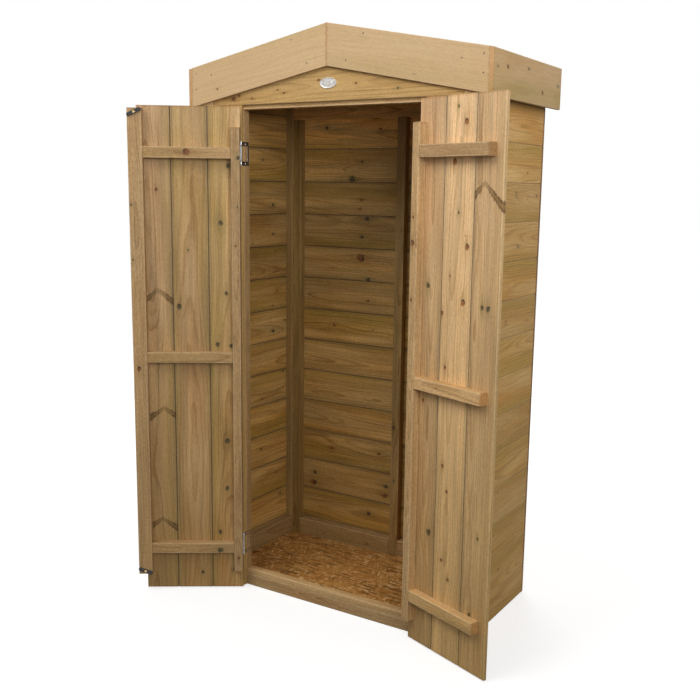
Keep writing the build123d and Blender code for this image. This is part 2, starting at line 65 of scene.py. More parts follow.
# %% The camera
image_side = 700
sensor_mm = 36
focal_pixels = 923.4
eye = np.array([1586.9, -2630.1, 1370.4])
yaw, pitch, roll = np.radians([32.159, 9.939, 0.747])
forward = np.array([-np.sin(yaw) * np.cos(pitch), np.cos(yaw) * np.cos(pitch), -np.sin(pitch)])
level = np.array([np.cos(yaw), np.sin(yaw), 0])
right = np.cos(roll) * level + np.sin(roll) * np.cross(level, forward)
up = np.cross(right, forward)


def placed(axes, place):
    """The matrix whose columns are three axes and a place in metres."""
    rows = zip(np.stack(axes, 1), place)
    return Matrix([[*row, at] for row, at in rows] + [[0, 0, 0, 1]])


camera = bpy.data.objects.new("camera", bpy.data.cameras.new("camera"))
camera.data.sensor_width = sensor_mm
camera.data.lens = focal_pixels * sensor_mm / image_side
camera.matrix_world = placed([right, up, -forward], eye * MM)
bpy.context.scene.collection.objects.link(camera)
bpy.context.scene.camera = camera
print("camera lens", round(camera.data.lens, 2), "mm")


# %% Sight lines
def on_plane(pixels, point, normal):
    """Where sight lines meet a plane: the eye plus the ray, times (point - eye).normal / ray.normal."""
    offset = (np.atleast_2d(pixels) - image_side / 2) / focal_pixels
    ray = forward + offset[:, :1] * right - offset[:, 1:2] * up
    reach = ((point - eye) @ normal) / (ray @ normal)
    return eye + ray * reach[:, None]


ground_point = on_plane([image_side / 2, image_side / 2], np.zeros(3), np.array([0, 0, 1]))[0]
print("the middle pixel meets the ground at", ground_point.round(), "mm")

# %% [markdown]
# ## Sizes
# The boards repeat the sizes of the part in millimetres. Straight timbers need none: their limits are read
# from the frame. What is left is the boarding, the roof slope and the two open doors.

# %% Sizes in millimetres
half_width, half_depth = 497, 249
board_thick, board_cover, first_course, joint_gap = 12, 118, 94, 0.3
vee, tongue_thick, tongue_long, tongue_play = 2, 4, 6, 0.25
apex_height, roof_rise, half_roof = 1852, 104, 540
trim_inside, barge_tall = 528, 124
slope = roof_rise / half_roof
deck_top_drop = 8
deck_under_drop = deck_top_drop + board_thick * np.hypot(1, slope)
roof_fit = 0.3
under_apex = apex_height - deck_under_drop - roof_fit
cladding_edge, gable_bottom = 450, 1627
axis_x, axis_y = 331, -253.5
left_open, right_open = 145.5, 159.5
door_outer, door_inner, door_frame = 4, 16, 44
door_bottom, door_top = 4, 1621
door_edge, free_edge = 1, 329.5
stile_wide, stile_bottom, stile_top = 28, 70, 1555
ledge_heights, ledge_tall = (155, 815, 1475), 36
strip_inside, strip_tip, strip_bottom, strip_top = 307.5, 353.5, 63.5, 1610.5
strip_relief, right_ledge_end = 0.6, 301.5


def leaf_bench(side, degrees):
    """A door's own frame: rows are along the leaf, inwards and up, turned about its hinge axis."""
    turn = np.radians(degrees)
    axes = np.array([[np.cos(turn), np.sin(turn), 0], [-np.sin(turn), np.cos(turn), 0], [0, 0, 1]])
    return np.array([side * axis_x, axis_y, 0]), axes


left_leaf = leaf_bench(-1, -left_open)
right_leaf = leaf_bench(1, right_open)
room = (np.zeros(3), np.eye(3))
print("doors stand open", left_open, "and", right_open, "degrees")

# %% [markdown]
# ## From arrays to a piece
# A mesh is four flat arrays: points, the corners of all faces in a row, how many corners each face has, and
# any values kept at the corners. Filling them at once with foreach_set is quick and needs no editing tools.
# Each new piece then rides on the body of the CAD node that it stands for.

# %% Make a piece from arrays
def piece(name, points, corners, counts, material, nodes=(), body=None, fields=None, smooth=False):
    """Puts arrays of millimetres into a mesh and ties it to the frame."""
    mesh = bpy.data.meshes.new(name)
    mesh.vertices.add(len(points))
    mesh.vertices.foreach_set("co", (np.asarray(points) * MM).astype(np.float32).ravel())
    mesh.loops.add(len(corners))
    mesh.loops.foreach_set("vertex_index", np.asarray(corners, dtype=np.int32))
    mesh.polygons.add(len(counts))
    mesh.polygons.foreach_set("loop_start", (np.cumsum(counts) - counts).astype(np.int32))
    mesh.polygons.foreach_set("use_smooth", np.full(len(counts), smooth))
    mesh.update(calc_edges=True)
    for field, values in (fields or {}).items():
        kept = mesh.attributes.new(field, "FLOAT_VECTOR", "CORNER")
        kept.data.foreach_set("vector", values.astype(np.float32).ravel())
    made = bpy.data.objects.new(name, mesh)
    bpy.context.scene.collection.objects.link(made)
    mesh.materials.append(material)
    if nodes:
        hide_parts(*nodes)
        body = body_of[nodes[0]]
    if body:
        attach(made, body)
    return made


def tube(size, rings, turned=False):
    """Faces between neighbouring rings of points, and a cap on each end; turned ones face the other way."""
    here = np.arange(size)
    there = np.roll(here, -1)
    ring = size * np.arange(rings - 1)[:, None]
    sides = np.stack([ring + here, ring + there, ring + size + there, ring + size + here], -1).reshape(-1, 4)
    caps = [here[::-1], size * (rings - 1) + here]
    if turned:
        sides = sides[:, [0, 3, 2, 1]]
        caps = [cap[::-1] for cap in caps]
    return np.concatenate([sides.ravel(), *caps]), np.array([4] * len(sides) + [size, size])


print("a tube of 3 rings of 8 points has", len(tube(8, 3)[1]), "faces")

# %% [markdown]
# ## Sections of the timbers
# Planed timber never has knife edges: a planer leaves its arrises eased. The framing is a rectangle with
# rounded corners. The boarding is matched: a tongue on one edge enters a groove in the next board, and a
# small vee on the outer face marks the joint.

# %% Two sections
corner_steps = 4
board_ease = 1.6
shoulder_gap = 1.3
joint_dark, band_reach = 0.35, 11
# How light the vee, the lip and the band beside a joint are
edge_dark = (0.8, 0.55, 0.75)


def eased_box(wide, deep, ease):
    """A rectangle whose corners are quarter circles: centre of the corner plus ease times (cos, sin)."""
    quarter = np.arange(4)[:, None] * np.pi / 2
    angle = quarter + np.linspace(0, np.pi / 2, corner_steps)
    middle = quarter + np.pi / 4
    across = wide / 2 + np.sign(np.cos(middle)) * (wide / 2 - ease) + ease * np.cos(angle)
    inward = deep / 2 + np.sign(np.sin(middle)) * (deep / 2 - ease) + ease * np.sin(angle)
    return np.stack([across.ravel(), inward.ravel()], 1)


def matched_section(width, grooved, tongued, breaks=()):
    """Round a matched board: outer face, vee, tongue, eased inner face and groove, turning anticlockwise.

    The inner shoulder beside the tongue is cut back, as on real boards, and leaves the line of the joint.
    Beside the points comes how light each one is: darker at the joint and in a band of the inner face beside
    it.
    """
    near, far = vee if grooved else board_ease, vee if tongued else board_ease
    near_vee, near_lip, near_band = edge_dark if grooved else (1, 1, 1)
    far_vee, far_lip, far_band = edge_dark if tongued else (1, 1, 1)
    back = width - shoulder_gap if tongued else width
    low, high = (board_thick - tongue_thick) / 2, (board_thick + tongue_thick) / 2
    outline = [(cut, 0, 1) for cut in (near, *breaks, width - far)] + [(width, far, far_vee)]
    if tongued:
        tongue = [(width, low), (width + tongue_long, low), (width + tongue_long, high), (back, high)]
        outline += [(*point, joint_dark) for point in tongue]
    outline += [(back, board_thick - board_ease, far_lip), (back - board_ease, board_thick, far_band)]
    outline += [(cut, board_thick, 1) for cut in (back - band_reach, *breaks[::-1], band_reach)]
    outline += [(board_ease, board_thick, near_band), (0, board_thick - board_ease, near_lip)]
    if grooved:
        sunk, top, bottom = tongue_long + tongue_play, high + tongue_play, low - tongue_play
        outline += [(*point, joint_dark) for point in [(0, top), (sunk, top), (sunk, bottom), (0, bottom)]]
    outline = np.array([*outline, (0, near, near_vee)], dtype=float)
    return outline[:, :2], outline[:, 2]


print("sections:", len(eased_box(34, 28, 2)), "and", len(matched_section(118, True, True)[0]), "points")

# %% [markdown]
# ## One board
# A board is its section carried along a straight line. Its grain is not painted on: each board remembers
# where it lay in the log, so that the finish can draw the growth rings through it and they also meet at its
# ends. Knots are branches. Each stretch of a board keeps its distance from the nearest knot in two lanes,
# so that two knots may lie side by side.

# %% Knots and flats of a board
far_away = np.array([[1e5, 0.0, 1.0]])
end_margin = 0.01
same_way = 0.01


def lanes_of(knots):
    """Splits knots, sorted along the board, into two lanes that take every other one."""
    knots = np.asarray(knots, dtype=float).reshape(-1, 3)
    knots = knots[knots[:, 0].argsort()]
    return [lane if len(lane) else far_away for lane in (knots[0::2], knots[1::2])]


def stations(start, stop, lanes):
    """Fractions of a board's length: its ends, its middle and halfway between two knots of a lane."""
    between = np.concatenate([(lane[1:, 0] + lane[:-1, 0]) / 2 for lane in lanes])
    fraction = (between - start) / (stop - start)
    fraction = fraction[(fraction > end_margin) & (fraction < 1 - end_margin)]
    return np.unique(np.concatenate([[0, 0.5, 1], fraction]))


def from_nearest(local, middle, knots):
    """Offset along and across from the knot nearest to a face's middle, with that knot's size."""
    owner = np.abs(middle[:, None] - knots[None, :, 0]).argmin(1)
    return np.column_stack([local[:, :2] - knots[owner, :2], knots[owner, 2]])


def along_flats(section):
    """For each side of a section: distances of its two ends from the ends of the flat run that holds it."""
    edge = np.roll(section, -1, 0) - section
    length = np.hypot(*edge.T)
    bearing = np.exp(1j * np.arctan2(edge[:, 1], edge[:, 0]))
    turned = np.abs(np.angle(bearing / np.roll(bearing, 1))) > same_way
    turned[0] = True
    run = np.cumsum(turned) - 1
    passed = np.cumsum(length) - length
    near = passed - passed[turned][run]
    far = np.bincount(run, length)[run] - near
    return np.stack([near, far], 1), np.stack([near + length, far - length], 1)


print("a plain board has stations at", stations(0, 1, lanes_of([])))

# %% Carry a section along a board
draw = np.random.default_rng(11)
pith_across, pith_out = (0.25, 0.75), (30, 75)
log_lean, log_long = 0.014, 9000
light_spread, green_spread, ring_spread = 0.04, (0.8, 1.2), (0.8, 1.25)


def board(bench, section, start, stop, knots=(), spikes=(), shade=(1.0, 0.3, 4.0), dim=1.0):
    """A section carried from start to stop, which may differ for each point of the section.

    Point = origin + along * axis 0 + across * axis 1 + inward * axis 2, at fractions that fall between knots.
    A shade is how light and how green the board is and its ring width in mm; dim is how light each point
    round the section is, and it carries painted light and shade too.
    """
    origin, axes = bench
    size = len(section)
    start, stop = np.broadcast_to(start, size), np.broadcast_to(stop, size)
    spikes = np.asarray(spikes, dtype=float).reshape(-1, 3)
    lanes = [*lanes_of(knots), spikes if len(spikes) else far_away]
    fraction = stations(start.mean(), stop.mean(), lanes)
    along = start + fraction[:, None] * (stop - start)
    local = np.empty(along.shape + (3,))
    local[..., 0] = along
    local[..., 1:] = section
    local = local.reshape(-1, 3)
    from_end = np.minimum(along - start, stop - along).ravel()
    corners, counts = tube(size, len(fraction))
    at_corner = local[corners]
    middle = np.repeat(np.add.reduceat(at_corner[:, 0], np.cumsum(counts) - counts) / counts, counts)
    wide, deep = np.ptp(section, axis=0)
    pith = [wide * draw.uniform(*pith_across), deep / 2 + draw.choice([-1, 1]) * draw.uniform(*pith_out)]
    lean = draw.normal(0, log_lean, 2)
    in_log = at_corner - [0, *(section.min(0) + pith)] - at_corner[:, :1] * [0, *lean]
    in_log[:, 0] += draw.uniform(-log_long, log_long)
    spread = [draw.normal(1, light_spread), draw.uniform(*green_spread), draw.uniform(*ring_spread)]
    tones = np.tile(np.multiply(shade, spread), (len(corners), 1))
    tones[:, 0] *= np.broadcast_to(dim, size)[corners % size]
    open_end, close_end = along_flats(section)
    flats = np.tile(np.stack([open_end, close_end, close_end, open_end], 1), (len(fraction) - 1, 1, 1))
    flats = np.concatenate([flats.reshape(-1, 2), np.full((2 * size, 2), wide)])
    fields = {"grain": in_log, "tone": tones, "rim": np.column_stack([flats, from_end[corners]])}
    for field, lane in zip(("knot_a", "knot_b", "spike"), lanes):
        fields[field] = from_nearest(at_corner, middle, lane)
    return origin + local @ axes, corners, counts, fields


print("boards are drawn from logs of", 2 * log_long / 1000, "metres")

# %% Join boards and strew knots
smallest_knot, knot_skew, knot_margin = 1.5, 2.2, 0.06


def gathered(name, boards, node_name, look=None):
    """Joins boards into the one piece that stands for a node, in its slot's finish or a given look."""
    points, corners, counts, fields = zip(*boards)
    shift = np.cumsum([0] + [len(made) for made in points])
    corners = np.concatenate([made + move for made, move in zip(corners, shift)])
    fields = {key: np.concatenate([made[key] for made in fields]) for key in fields[0]}
    material = finish[look or slot_of[node_name]]
    arrays = (np.concatenate(points), corners, np.concatenate(counts))
    return piece(name, *arrays, material, [node_name], fields=fields)


def strewn(length, wide, every, largest=7.0):
    """Knots where the photograph shows none: places drawn evenly, mostly small, half of them dead."""
    count = draw.poisson(length / every)
    size = smallest_knot + (largest - smallest_knot) * draw.uniform(0, 1, count) ** knot_skew
    places = [draw.uniform(0, length, count), draw.uniform(knot_margin, 1 - knot_margin, count) * wide]
    return np.column_stack([*places, size * draw.choice([-1, 1], count)])


print("boards can be made")

# %% [markdown]
# ## Adding shader nodes
# Finishes are built from nodes. One helper adds a node, sets it up and links it; colours are written as the
# sRGB codes of a colour picker and turned to the linear values that a renderer works with.

# %% A node helper and a colour helper
def linear(code):
    """sRGB code to linear colour: c / 12.92 in the darks, ((c + 0.055) / 1.055) ** 2.4 above them."""
    channel = np.array([int(code[at : at + 2], 16) for at in (1, 3, 5)]) / 255
    flat = np.where(channel <= 0.04045, channel / 12.92, ((channel + 0.055) / 1.055) ** 2.4)
    return (*flat.tolist(), 1.0)


def node(tree, kind, *feeds, out=0, stops=(), **settings):
    """Adds a node, sets it up, feeds its sockets with values or links, and returns one output.

    A second word of kind is the operation. Feeds follow the order of the sockets, or are one dict by socket.
    The stops of a colour ramp are a position each with a colour code or a grey level.
    """
    kind, *operation = kind.split()
    made = tree.nodes.new("ShaderNode" + kind)
    if operation:
        made.operation = operation[0]
    for key, value in settings.items():
        setattr(made, key, value)
    by_socket = feeds[0] if feeds and isinstance(feeds[0], dict) else dict(enumerate(feeds))
    for socket, value in by_socket.items():
        if isinstance(value, bpy.types.NodeSocket):
            tree.links.new(value, made.inputs[socket])
        else:
            made.inputs[socket].default_value = value
    for index, (position, colour) in enumerate(stops):
        ends = made.color_ramp.elements
        end = ends[index] if index < 2 else ends.new(position)
        end.position = position
        end.color = linear(colour) if isinstance(colour, str) else (colour, colour, colour, 1.0)
    return made.outputs[out] if made.outputs else None


def bare(owner):
    """Empties the nodes of a material or world and returns the helper that adds nodes to it."""
    owner.use_nodes = True
    owner.node_tree.nodes.clear()
    return partial(node, owner.node_tree)


print("pine reads as", [round(value, 3) for value in linear("#d0ab78")[:3]])

# %% [markdown]
# ## Treated softwood
# The boards are planed redwood, pressure treated: pale earlywood, browner latewood lines, dark knots, and a
# faint green where the salts stayed. A photograph of wood would be a picture on the outside only. Here the
# rings are worked out from the log instead: the distance from the pith, bent by slow noise and by each
# knot.

# %% Knots in a finish
lens_long, lens_fall = 2.6, 0.30
oval_long, oval_torn, oval_shift = 0.8, 1.3, -0.6
knot_edge, bark_edge, bark_lean = (1.2, 0.75), (0.5, 0.95), 0.35


def knot_marks(add, torn):
    """For each lane: lens = |(along / 2.6, across)| / size pushes rings aside by across * exp(-0.3 lens^2).

    A ragged oval = |(0.8 along, across)| / size is under 1 inside the knot. Dead knots have a negative size.
    """
    push, halo, inside, least, bark, dead = 0.0, 0.0, 0.0, 2.0, 0.0, 0.0
    for lane in ("knot_a", "knot_b"):
        offset = add("Attribute", out="Vector", attribute_name=lane)
        along, across, signed = add("SeparateXYZ", offset).node.outputs
        size = add("Math ABSOLUTE", signed)
        lens = add("VectorMath MULTIPLY", offset, (1 / lens_long, 1, 0))
        lens = add("VectorMath LENGTH", lens, out="Value")
        lens = add("Math DIVIDE", lens, size)
        fall = add("Math MULTIPLY", lens, lens)
        fall = add("Math MULTIPLY", fall, -lens_fall)
        fall = add("Math EXPONENT", fall)
        push = add("Math MULTIPLY_ADD", across, fall, push)
        halo = add("Math MAXIMUM", fall, halo)
        gone = add("Math LESS_THAN", signed, 0.0)
        dead = add("Math MULTIPLY_ADD", gone, fall, dead, use_clamp=True)
        oval = add("VectorMath MULTIPLY", offset, (oval_long, 1, 0))
        oval = add("VectorMath LENGTH", oval, out="Value")
        oval = add("Math DIVIDE", oval, size)
        oval = add("Math MULTIPLY_ADD", torn, oval_torn, oval)
        oval = add("Math ADD", oval, oval_shift)
        knot = add("MapRange", oval, *knot_edge, interpolation_type="SMOOTHSTEP")
        lean = add("Math DIVIDE", along, size)
        lean = add("Math MULTIPLY_ADD", lean, bark_lean, oval)
        ring = add("MapRange", lean, *bark_edge, interpolation_type="SMOOTHSTEP")
        bark = add("Math MULTIPLY_ADD", ring, knot, bark, use_clamp=True)
        inside = add("Math MAXIMUM", knot, inside)
        least = add("Math MINIMUM", oval, least)
    return push, halo, inside, least, bark, dead


print("knots push the rings aside")

# %% Branches and growth rings in a finish
arm_torn, arm_thick, arm_widens, arm_edge = 16, 6.5, 0.12, (1.4, 0.6)
tip_reach, tip_share = (0.0, 34.0), (0.45, 0.95)
bend_long, bend_wide, bend_most = 640, 170, 46
sapwood_starts, sapwood_full = 48, 92
ring_torn, weakest_year = 1.4, 0.2
late_wood = [(0, 0.1), (0.5, 0.12), (0.86, 0.95), (0.95, 1), (1, 0.1)]


def branch_arms(add, torn):
    """A branch cut lengthwise shows two arms from its tip: |along + slope * |across|| / half thickness."""
    spike = add("Attribute", out="Vector", attribute_name="spike")
    along, across, steep = add("SeparateXYZ", spike).node.outputs
    out = add("Math ABSOLUTE", across)
    arm = add("Math MULTIPLY_ADD", out, steep, along)
    arm = add("Math MULTIPLY_ADD", torn, arm_torn, arm)
    arm = add("Math ADD", arm, -arm_torn / 2)
    arm = add("Math ABSOLUTE", arm)
    half = add("Math MULTIPLY_ADD", out, arm_widens, arm_thick)
    arm = add("Math DIVIDE", arm, half)
    shown = add("MapRange", arm, *arm_edge, interpolation_type="SMOOTHSTEP")
    tip = add("MapRange", out, *tip_reach, *tip_share)
    return arm, add("Math MULTIPLY", shown, tip)


def growth_rings(add, grain, ragged, push, ring_mm):
    """Turns = |place from the pith, bent by slow noise and pushed by knots| / ring width.

    Late wood fills the last part of a turn and each year has its own strength; sapwood begins 48 mm out.
    """
    bend_at = add("VectorMath MULTIPLY", grain, (1 / bend_long, 1 / bend_wide, 1 / bend_wide))
    bend = add("TexNoise", {"Vector": bend_at, "Scale": 1.0, "Detail": 2.0}, out="Color")
    bend = add("VectorMath SUBTRACT", bend, (0.5, 0.5, 0.5))
    bend = add("VectorMath MULTIPLY_ADD", bend, (0, bend_most, bend_most), grain)
    pushed = add("VectorMath SUBTRACT", bend, add("CombineXYZ", {"Y": push}))
    radius = add("VectorMath MULTIPLY", pushed, (0, 1, 1))
    radius = add("VectorMath LENGTH", radius, out="Value")
    sapwood = add("MapRange", radius, sapwood_starts, sapwood_full, interpolation_type="SMOOTHSTEP")
    radius = add("Math MULTIPLY_ADD", ragged, ring_torn, radius)
    turns = add("Math DIVIDE", radius, ring_mm)
    late = add("ValToRGB", add("Math FRACT", turns), stops=late_wood)
    year = add("TexWhiteNoise", {"W": add("Math FLOOR", turns)}, noise_dimensions="1D")
    year = add("MapRange", year, 0.0, 1.0, weakest_year, 1.0)
    return add("Math MULTIPLY", late, year), sapwood


print("rings follow the log")

# %% Edges and knot colours in a finish
live_knot = [(0.0, "#4d2a14"), (0.25, "#7c4723"), (0.7, "#8a532b"), (1.0, "#6b4020")]
dead_knot = [(0.0, "#2a2415"), (0.3, "#4a4129"), (0.7, "#5d5434"), (1.0, "#382f19")]
branch = [(0.0, "#8d7042"), (0.45, "#745631"), (0.8, "#452c14"), (1.0, "#6a4b29")]
bark_brown = linear("#20150b")
arris_torn, arris_edge = 6, (0.3, -2.6)
end_torn, end_edge, end_soak = 12, (1.0, -7.0), 0.45


def worn_rim(add, ragged, wear):
    """Wear of an arris and soak of an end: the distance from it, less ragged noise, over some millimetres."""
    rim = add("Attribute", out="Vector", attribute_name="rim")
    near, far, end = add("SeparateXYZ", rim).node.outputs
    arris = add("Math MINIMUM", near, far)
    arris = add("Math MULTIPLY_ADD", ragged, -arris_torn, arris)
    worn = add("MapRange", arris, *arris_edge, 0.0, wear, interpolation_type="SMOOTHSTEP")
    end = add("Math MULTIPLY_ADD", ragged, -end_torn, end)
    soaked = add("MapRange", end, *end_edge, 0.0, end_soak, interpolation_type="SMOOTHSTEP")
    return worn, soaked


def knot_core(add, least, bark, dead):
    """Live and dead knots have their own colours from the middle out, inside a dark ring of bark."""
    live = add("ValToRGB", least, stops=live_knot)
    gone = add("ValToRGB", least, stops=dead_knot)
    sort = add("MapRange", dead, 0.2, 0.4)
    core = add("Mix", {0: sort, 6: live, 7: gone}, out=2, data_type="RGBA")
    return add("Mix", {0: bark, 6: core, 7: bark_brown}, out=2, data_type="RGBA")


print("knots have", len(live_knot), "colours each")

# %% A finish for treated softwood
# Millimetres along and across the grain, and the detail, of each noise
streak_sizes = {
    "ragged": (30, 7, 3), "torn": (9, 5, 2), "fibre": (170, 3.2, 4), "soak": (330, 60, 3),
    "check": (300, 2.4, 1), "fuzz": (9, 4, 3), "patch": (420, 28, 2),
}
moss, worn_pale, soaked_end = linear("#8b8358"), linear("#e6cda6"), linear("#c8a374")
check_dark, painted_falloff_tint = linear("#573a20"), linear("#e2dcbd")
eaves_level, saw_pitch = 1650, 2.8
fibre_share, fibre_start, halo_share = 1.2, -0.47, 0.3
soak_range, check_range, streak_range = (0.36, 0.66), (0.74, 0.79), (0.32, 0.68)
check_share, moss_share, knot_share = 0.6, 0.3, 0.92
late_relief, check_relief, wood_relief = 0.5, -1.5, 0.4
wood_rough = (0.76, 0.56)


def treated_softwood(name, colours, late_share=0.46, wear=0.1, painted_falloff=0.4, sawn=0.06, patchy=0.0):
    """Brown = fibres + late wood + halo of knots mixes two wood colours; salts, wear and knots come over it.

    Painted shade deepens the colour towards the ground in step with the height, as the lamps' light falls
    off.
    The saw leaves a fuzz of light and dark, and handling leaves wider patches of them.
    """
    made = bpy.data.materials.new(name)
    add = bare(made)
    pale, dark, heart, salts = map(linear, colours)
    grain = add("Attribute", out="Vector", attribute_name="grain")
    tone = add("Attribute", out="Vector", attribute_name="tone")
    light, green, ring_mm = add("SeparateXYZ", tone).node.outputs
    noise = {}
    for streak, (long, wide, detail) in streak_sizes.items():
        streak_at = add("VectorMath MULTIPLY", grain, (1 / long, 1 / wide, 1 / wide))
        noise[streak] = add("TexNoise", {"Vector": streak_at, "Scale": 1.0, "Detail": detail}, out="Fac")
    push, halo, inside, least, bark, dead = knot_marks(add, noise["torn"])
    late, sapwood = growth_rings(add, grain, noise["ragged"], push, ring_mm)

    brown = add("Math MULTIPLY_ADD", noise["fibre"], fibre_share, fibre_start)
    brown = add("Math MULTIPLY_ADD", late, late_share, brown)
    brown = add("Math MULTIPLY_ADD", halo, halo_share, brown, use_clamp=True)
    wood = add("Mix", {0: brown, 6: pale, 7: dark}, out=2, data_type="RGBA")
    tinted = add("Math ADD", add("MapRange", noise["soak"], *soak_range), sapwood)
    tinted = add("Math MULTIPLY", tinted, green, use_clamp=True)
    tint = add("Mix", {0: sapwood, 6: heart, 7: salts}, out=2, data_type="RGBA")
    worn, soaked = worn_rim(add, noise["ragged"], wear)
    check = add("MapRange", noise["check"], *check_range, 0.0, check_share)
    arm, arms = branch_arms(add, noise["torn"])
    height = add("SeparateXYZ", add("TexCoord", out="Object"), out="Z")
    layers = [
        (tinted, tint, "MULTIPLY"),
        (worn, worn_pale, "MIX"),
        (soaked, soaked_end, "MULTIPLY"),
        (check, check_dark, "MIX"),
        (add("Math MULTIPLY", dead, moss_share), moss, "MIX"),
        (add("Math MULTIPLY", inside, knot_share), knot_core(add, least, bark, dead), "MIX"),
        (arms, add("ValToRGB", arm, stops=branch), "MIX"),
        # Painted shade: darker and yellower towards the ground, where the lamps' light falls off
        (add("MapRange", height, eaves_level * MM, 0.0, 0.0, painted_falloff), painted_falloff_tint, "MULTIPLY"),
    ]
    for amount, colour, way in layers:
        wood = add("Mix", {0: amount, 6: wood, 7: colour}, out=2, data_type="RGBA", blend_type=way)
    for streak, depth in (("fuzz", sawn), ("patch", patchy)):
        cloud = add("MapRange", noise[streak], *streak_range, 1 - depth, 1 + depth)
        light = add("Math MULTIPLY", light, cloud)
    colour = add("VectorMath SCALE", {0: wood, "Scale": light})

    stroke = add("Math MULTIPLY", add("SeparateXYZ", grain), 2 * np.pi / saw_pitch)
    relief = add("Math MULTIPLY_ADD", late, late_relief, noise["fibre"])
    relief = add("Math MULTIPLY_ADD", add("Math SINE", stroke), sawn, relief)
    relief = add("Math MULTIPLY_ADD", check, check_relief, relief)
    bump = add("Bump", {"Strength": 0.3, "Distance": wood_relief * MM, "Height": relief})
    rough = add("MapRange", noise["fibre"], 0.0, 1.0, *wood_rough)
    feeds = {"Base Color": colour, "Roughness": rough, "Normal": bump, "Specular IOR Level": 0.35}
    add("OutputMaterial", add("BsdfPrincipled", feeds))
    return made


print("softwood has", len(streak_sizes), "kinds of streak")

# %% The softwoods of the cabinet
# Pale and dark wood, and the tints of heartwood and of salted sapwood
wall_wood = ("#cba66c", "#8e6b36", "#eedab0", "#dad5a6")
inner_wood = ("#cba66a", "#8e6a35", "#eed8ac", "#dad5a6")
door_wood = ("#d0af85", "#9e794c", "#f6dcc6", "#dad7b2")
trim_wood = ("#d3b387", "#b99667", "#f4dcc2", "#d5d4ae")
frame_wood = ("#c9a778", "#8d693b", "#f0d4b8", "#d6d1a8")
finish = {
    # Warm yellow brown with a satin planed face
    "treated_boards": treated_softwood("planed_treated_redwood", wall_wood, late_share=0.52, sawn=0.1),
    # Kept from the weather: clear rings and cloudy patches
    "inner_boards": treated_softwood("planed_treated_pine", inner_wood, late_share=0.7,
                                     sawn=0.15, patchy=0.2),
    # Paler and pinker, darkened towards the ground by painted shade
    "door_boards": treated_softwood("planed_door_redwood", door_wood, late_share=0.65, wear=0.2, painted_falloff=1.0,
                                    sawn=0.1, patchy=0.16),
    # Smooth and even, since clear boards are picked for the roof's edge
    "trim_boards": treated_softwood("planed_pale_redwood", trim_wood, late_share=0.2, wear=0.15, painted_falloff=0.0),
    # Rough from the saw, with rubbed arrises
    "framing_timber": treated_softwood("sawn_treated_spruce", frame_wood, late_share=0.5, wear=0.2,
                                       painted_falloff=0.3, sawn=0.17, patchy=0.1),
}
print("softwood finishes:", sorted(finish))

# %% [markdown]
# ## Strand board
# The floor and the roof deck are oriented strand board: flakes of wood some 34 mm by 7 mm, pressed flat at
# all angles. Four sheets of long cells, each turned another way, stand for the layers of flakes, and at
# every place the flake with the highest random number lies on top. A few darker strands lie over them.

# %% A finish of pressed flakes
flake_size, line_size, strand_size = (34, 7), (30, 1.8), (48, 8)
flake_lays = ((14, 0.0), (61, 11.3), (103, 19.7), (148, 27.1))
strand_lays, strand_chance, strand_share = (35, 95, 150), (0.05, 0.04), 0.6
shuffle, line_share, shade_range = 91.0, 1.6, (0.55, 2.0)
line_relief, flake_relief = 0.3, 0.6


def strand_board(name, dark, middle, warm, pale):
    """Long random cells at four angles; the top flake is the largest of four random numbers."""
    made = bpy.data.materials.new(name)
    add = bare(made)
    place = add("TexCoord", out="Object")
    sizes = (flake_size, line_size, strand_size)
    flakes, lines, strands = [(1 / (long * MM), 1 / (wide * MM), 0) for long, wide in sizes]
    top, streak = 0.0, 0.0
    for degrees, move in flake_lays:
        lay = {"Rotation": (0, 0, np.radians(degrees)), "Location": (move, move, 0)}
        lying = add("Mapping", {"Vector": place, **lay})
        flake_at = add("VectorMath MULTIPLY", lying, flakes)
        flake = add("TexVoronoi", {"Vector": flake_at, "Scale": 1.0}, out="Color", voronoi_dimensions="2D")
        chance = add("SeparateColor", flake)
        line_at = add("VectorMath MULTIPLY", lying, lines)
        line = add("TexNoise", {"Vector": line_at, "Scale": 1.0, "Detail": 2.0}, out="Fac")
        above = add("Math GREATER_THAN", chance, top)
        streak = add("Mix", {0: above, 2: streak, 3: line}, data_type="FLOAT")
        top = add("Math MAXIMUM", chance, top)
    shade = add("TexWhiteNoise", {"W": add("Math MULTIPLY", top, shuffle)}, noise_dimensions="1D")
    shade = add("Math MULTIPLY_ADD", streak, line_share, shade)
    shade = add("MapRange", shade, *shade_range)
    colour = add("ValToRGB", shade, stops=[(0.0, dark), (0.22, middle), (0.7, warm), (1.0, pale)])
    for degrees in strand_lays:
        lay = {"Rotation": (0, 0, np.radians(degrees)), "Scale": strands}
        strand_at = add("Mapping", {"Vector": place, **lay})
        strand = add("TexVoronoi", {"Vector": strand_at, "Scale": 1.0}, out="Color", voronoi_dimensions="2D")
        strand = add("MapRange", add("SeparateColor", strand), *strand_chance, 0.0, strand_share)
        colour = add("Mix", {0: strand, 6: colour, 7: linear(dark)}, out=2, data_type="RGBA")
    relief = add("Math MULTIPLY_ADD", streak, line_relief, top)
    bump = add("Bump", {"Strength": 0.35, "Distance": flake_relief * MM, "Height": relief})
    feeds = {"Base Color": colour, "Roughness": 0.62, "Normal": bump, "Specular IOR Level": 0.35}
    add("OutputMaterial", add("BsdfPrincipled", feeds))
    return made


# Amber flakes, light and dark, that lie at all angles
finish["strand_board"] = strand_board("pressed_strand_board", "#553314", "#9f6d32", "#be8947", "#e6c68c")
print("flakes of", flake_size, "mm")

# %% [markdown]
# ## Metals and felt
# The hinges, hasp and screws are steel with a bright zinc plate, the turn buttons are steel under black
# stoving enamel on yellow screws, and the plaque is pressed aluminium. A plated sheet is never one even
# grey: fine cloudy patches change its colour and its gloss a little. The felt is bitumen sheet with mineral
# grit, drawn at twice its real size of 1.5 mm so that it still shows from a few metres.

# %% A finish for metals and one for grit
cloud_range, metal_relief = (0.3, 0.7), 0.1
felt_worn, worn_share, felt_range, grit_relief = 70, 0.7, (0.25, 1.3), 0.8


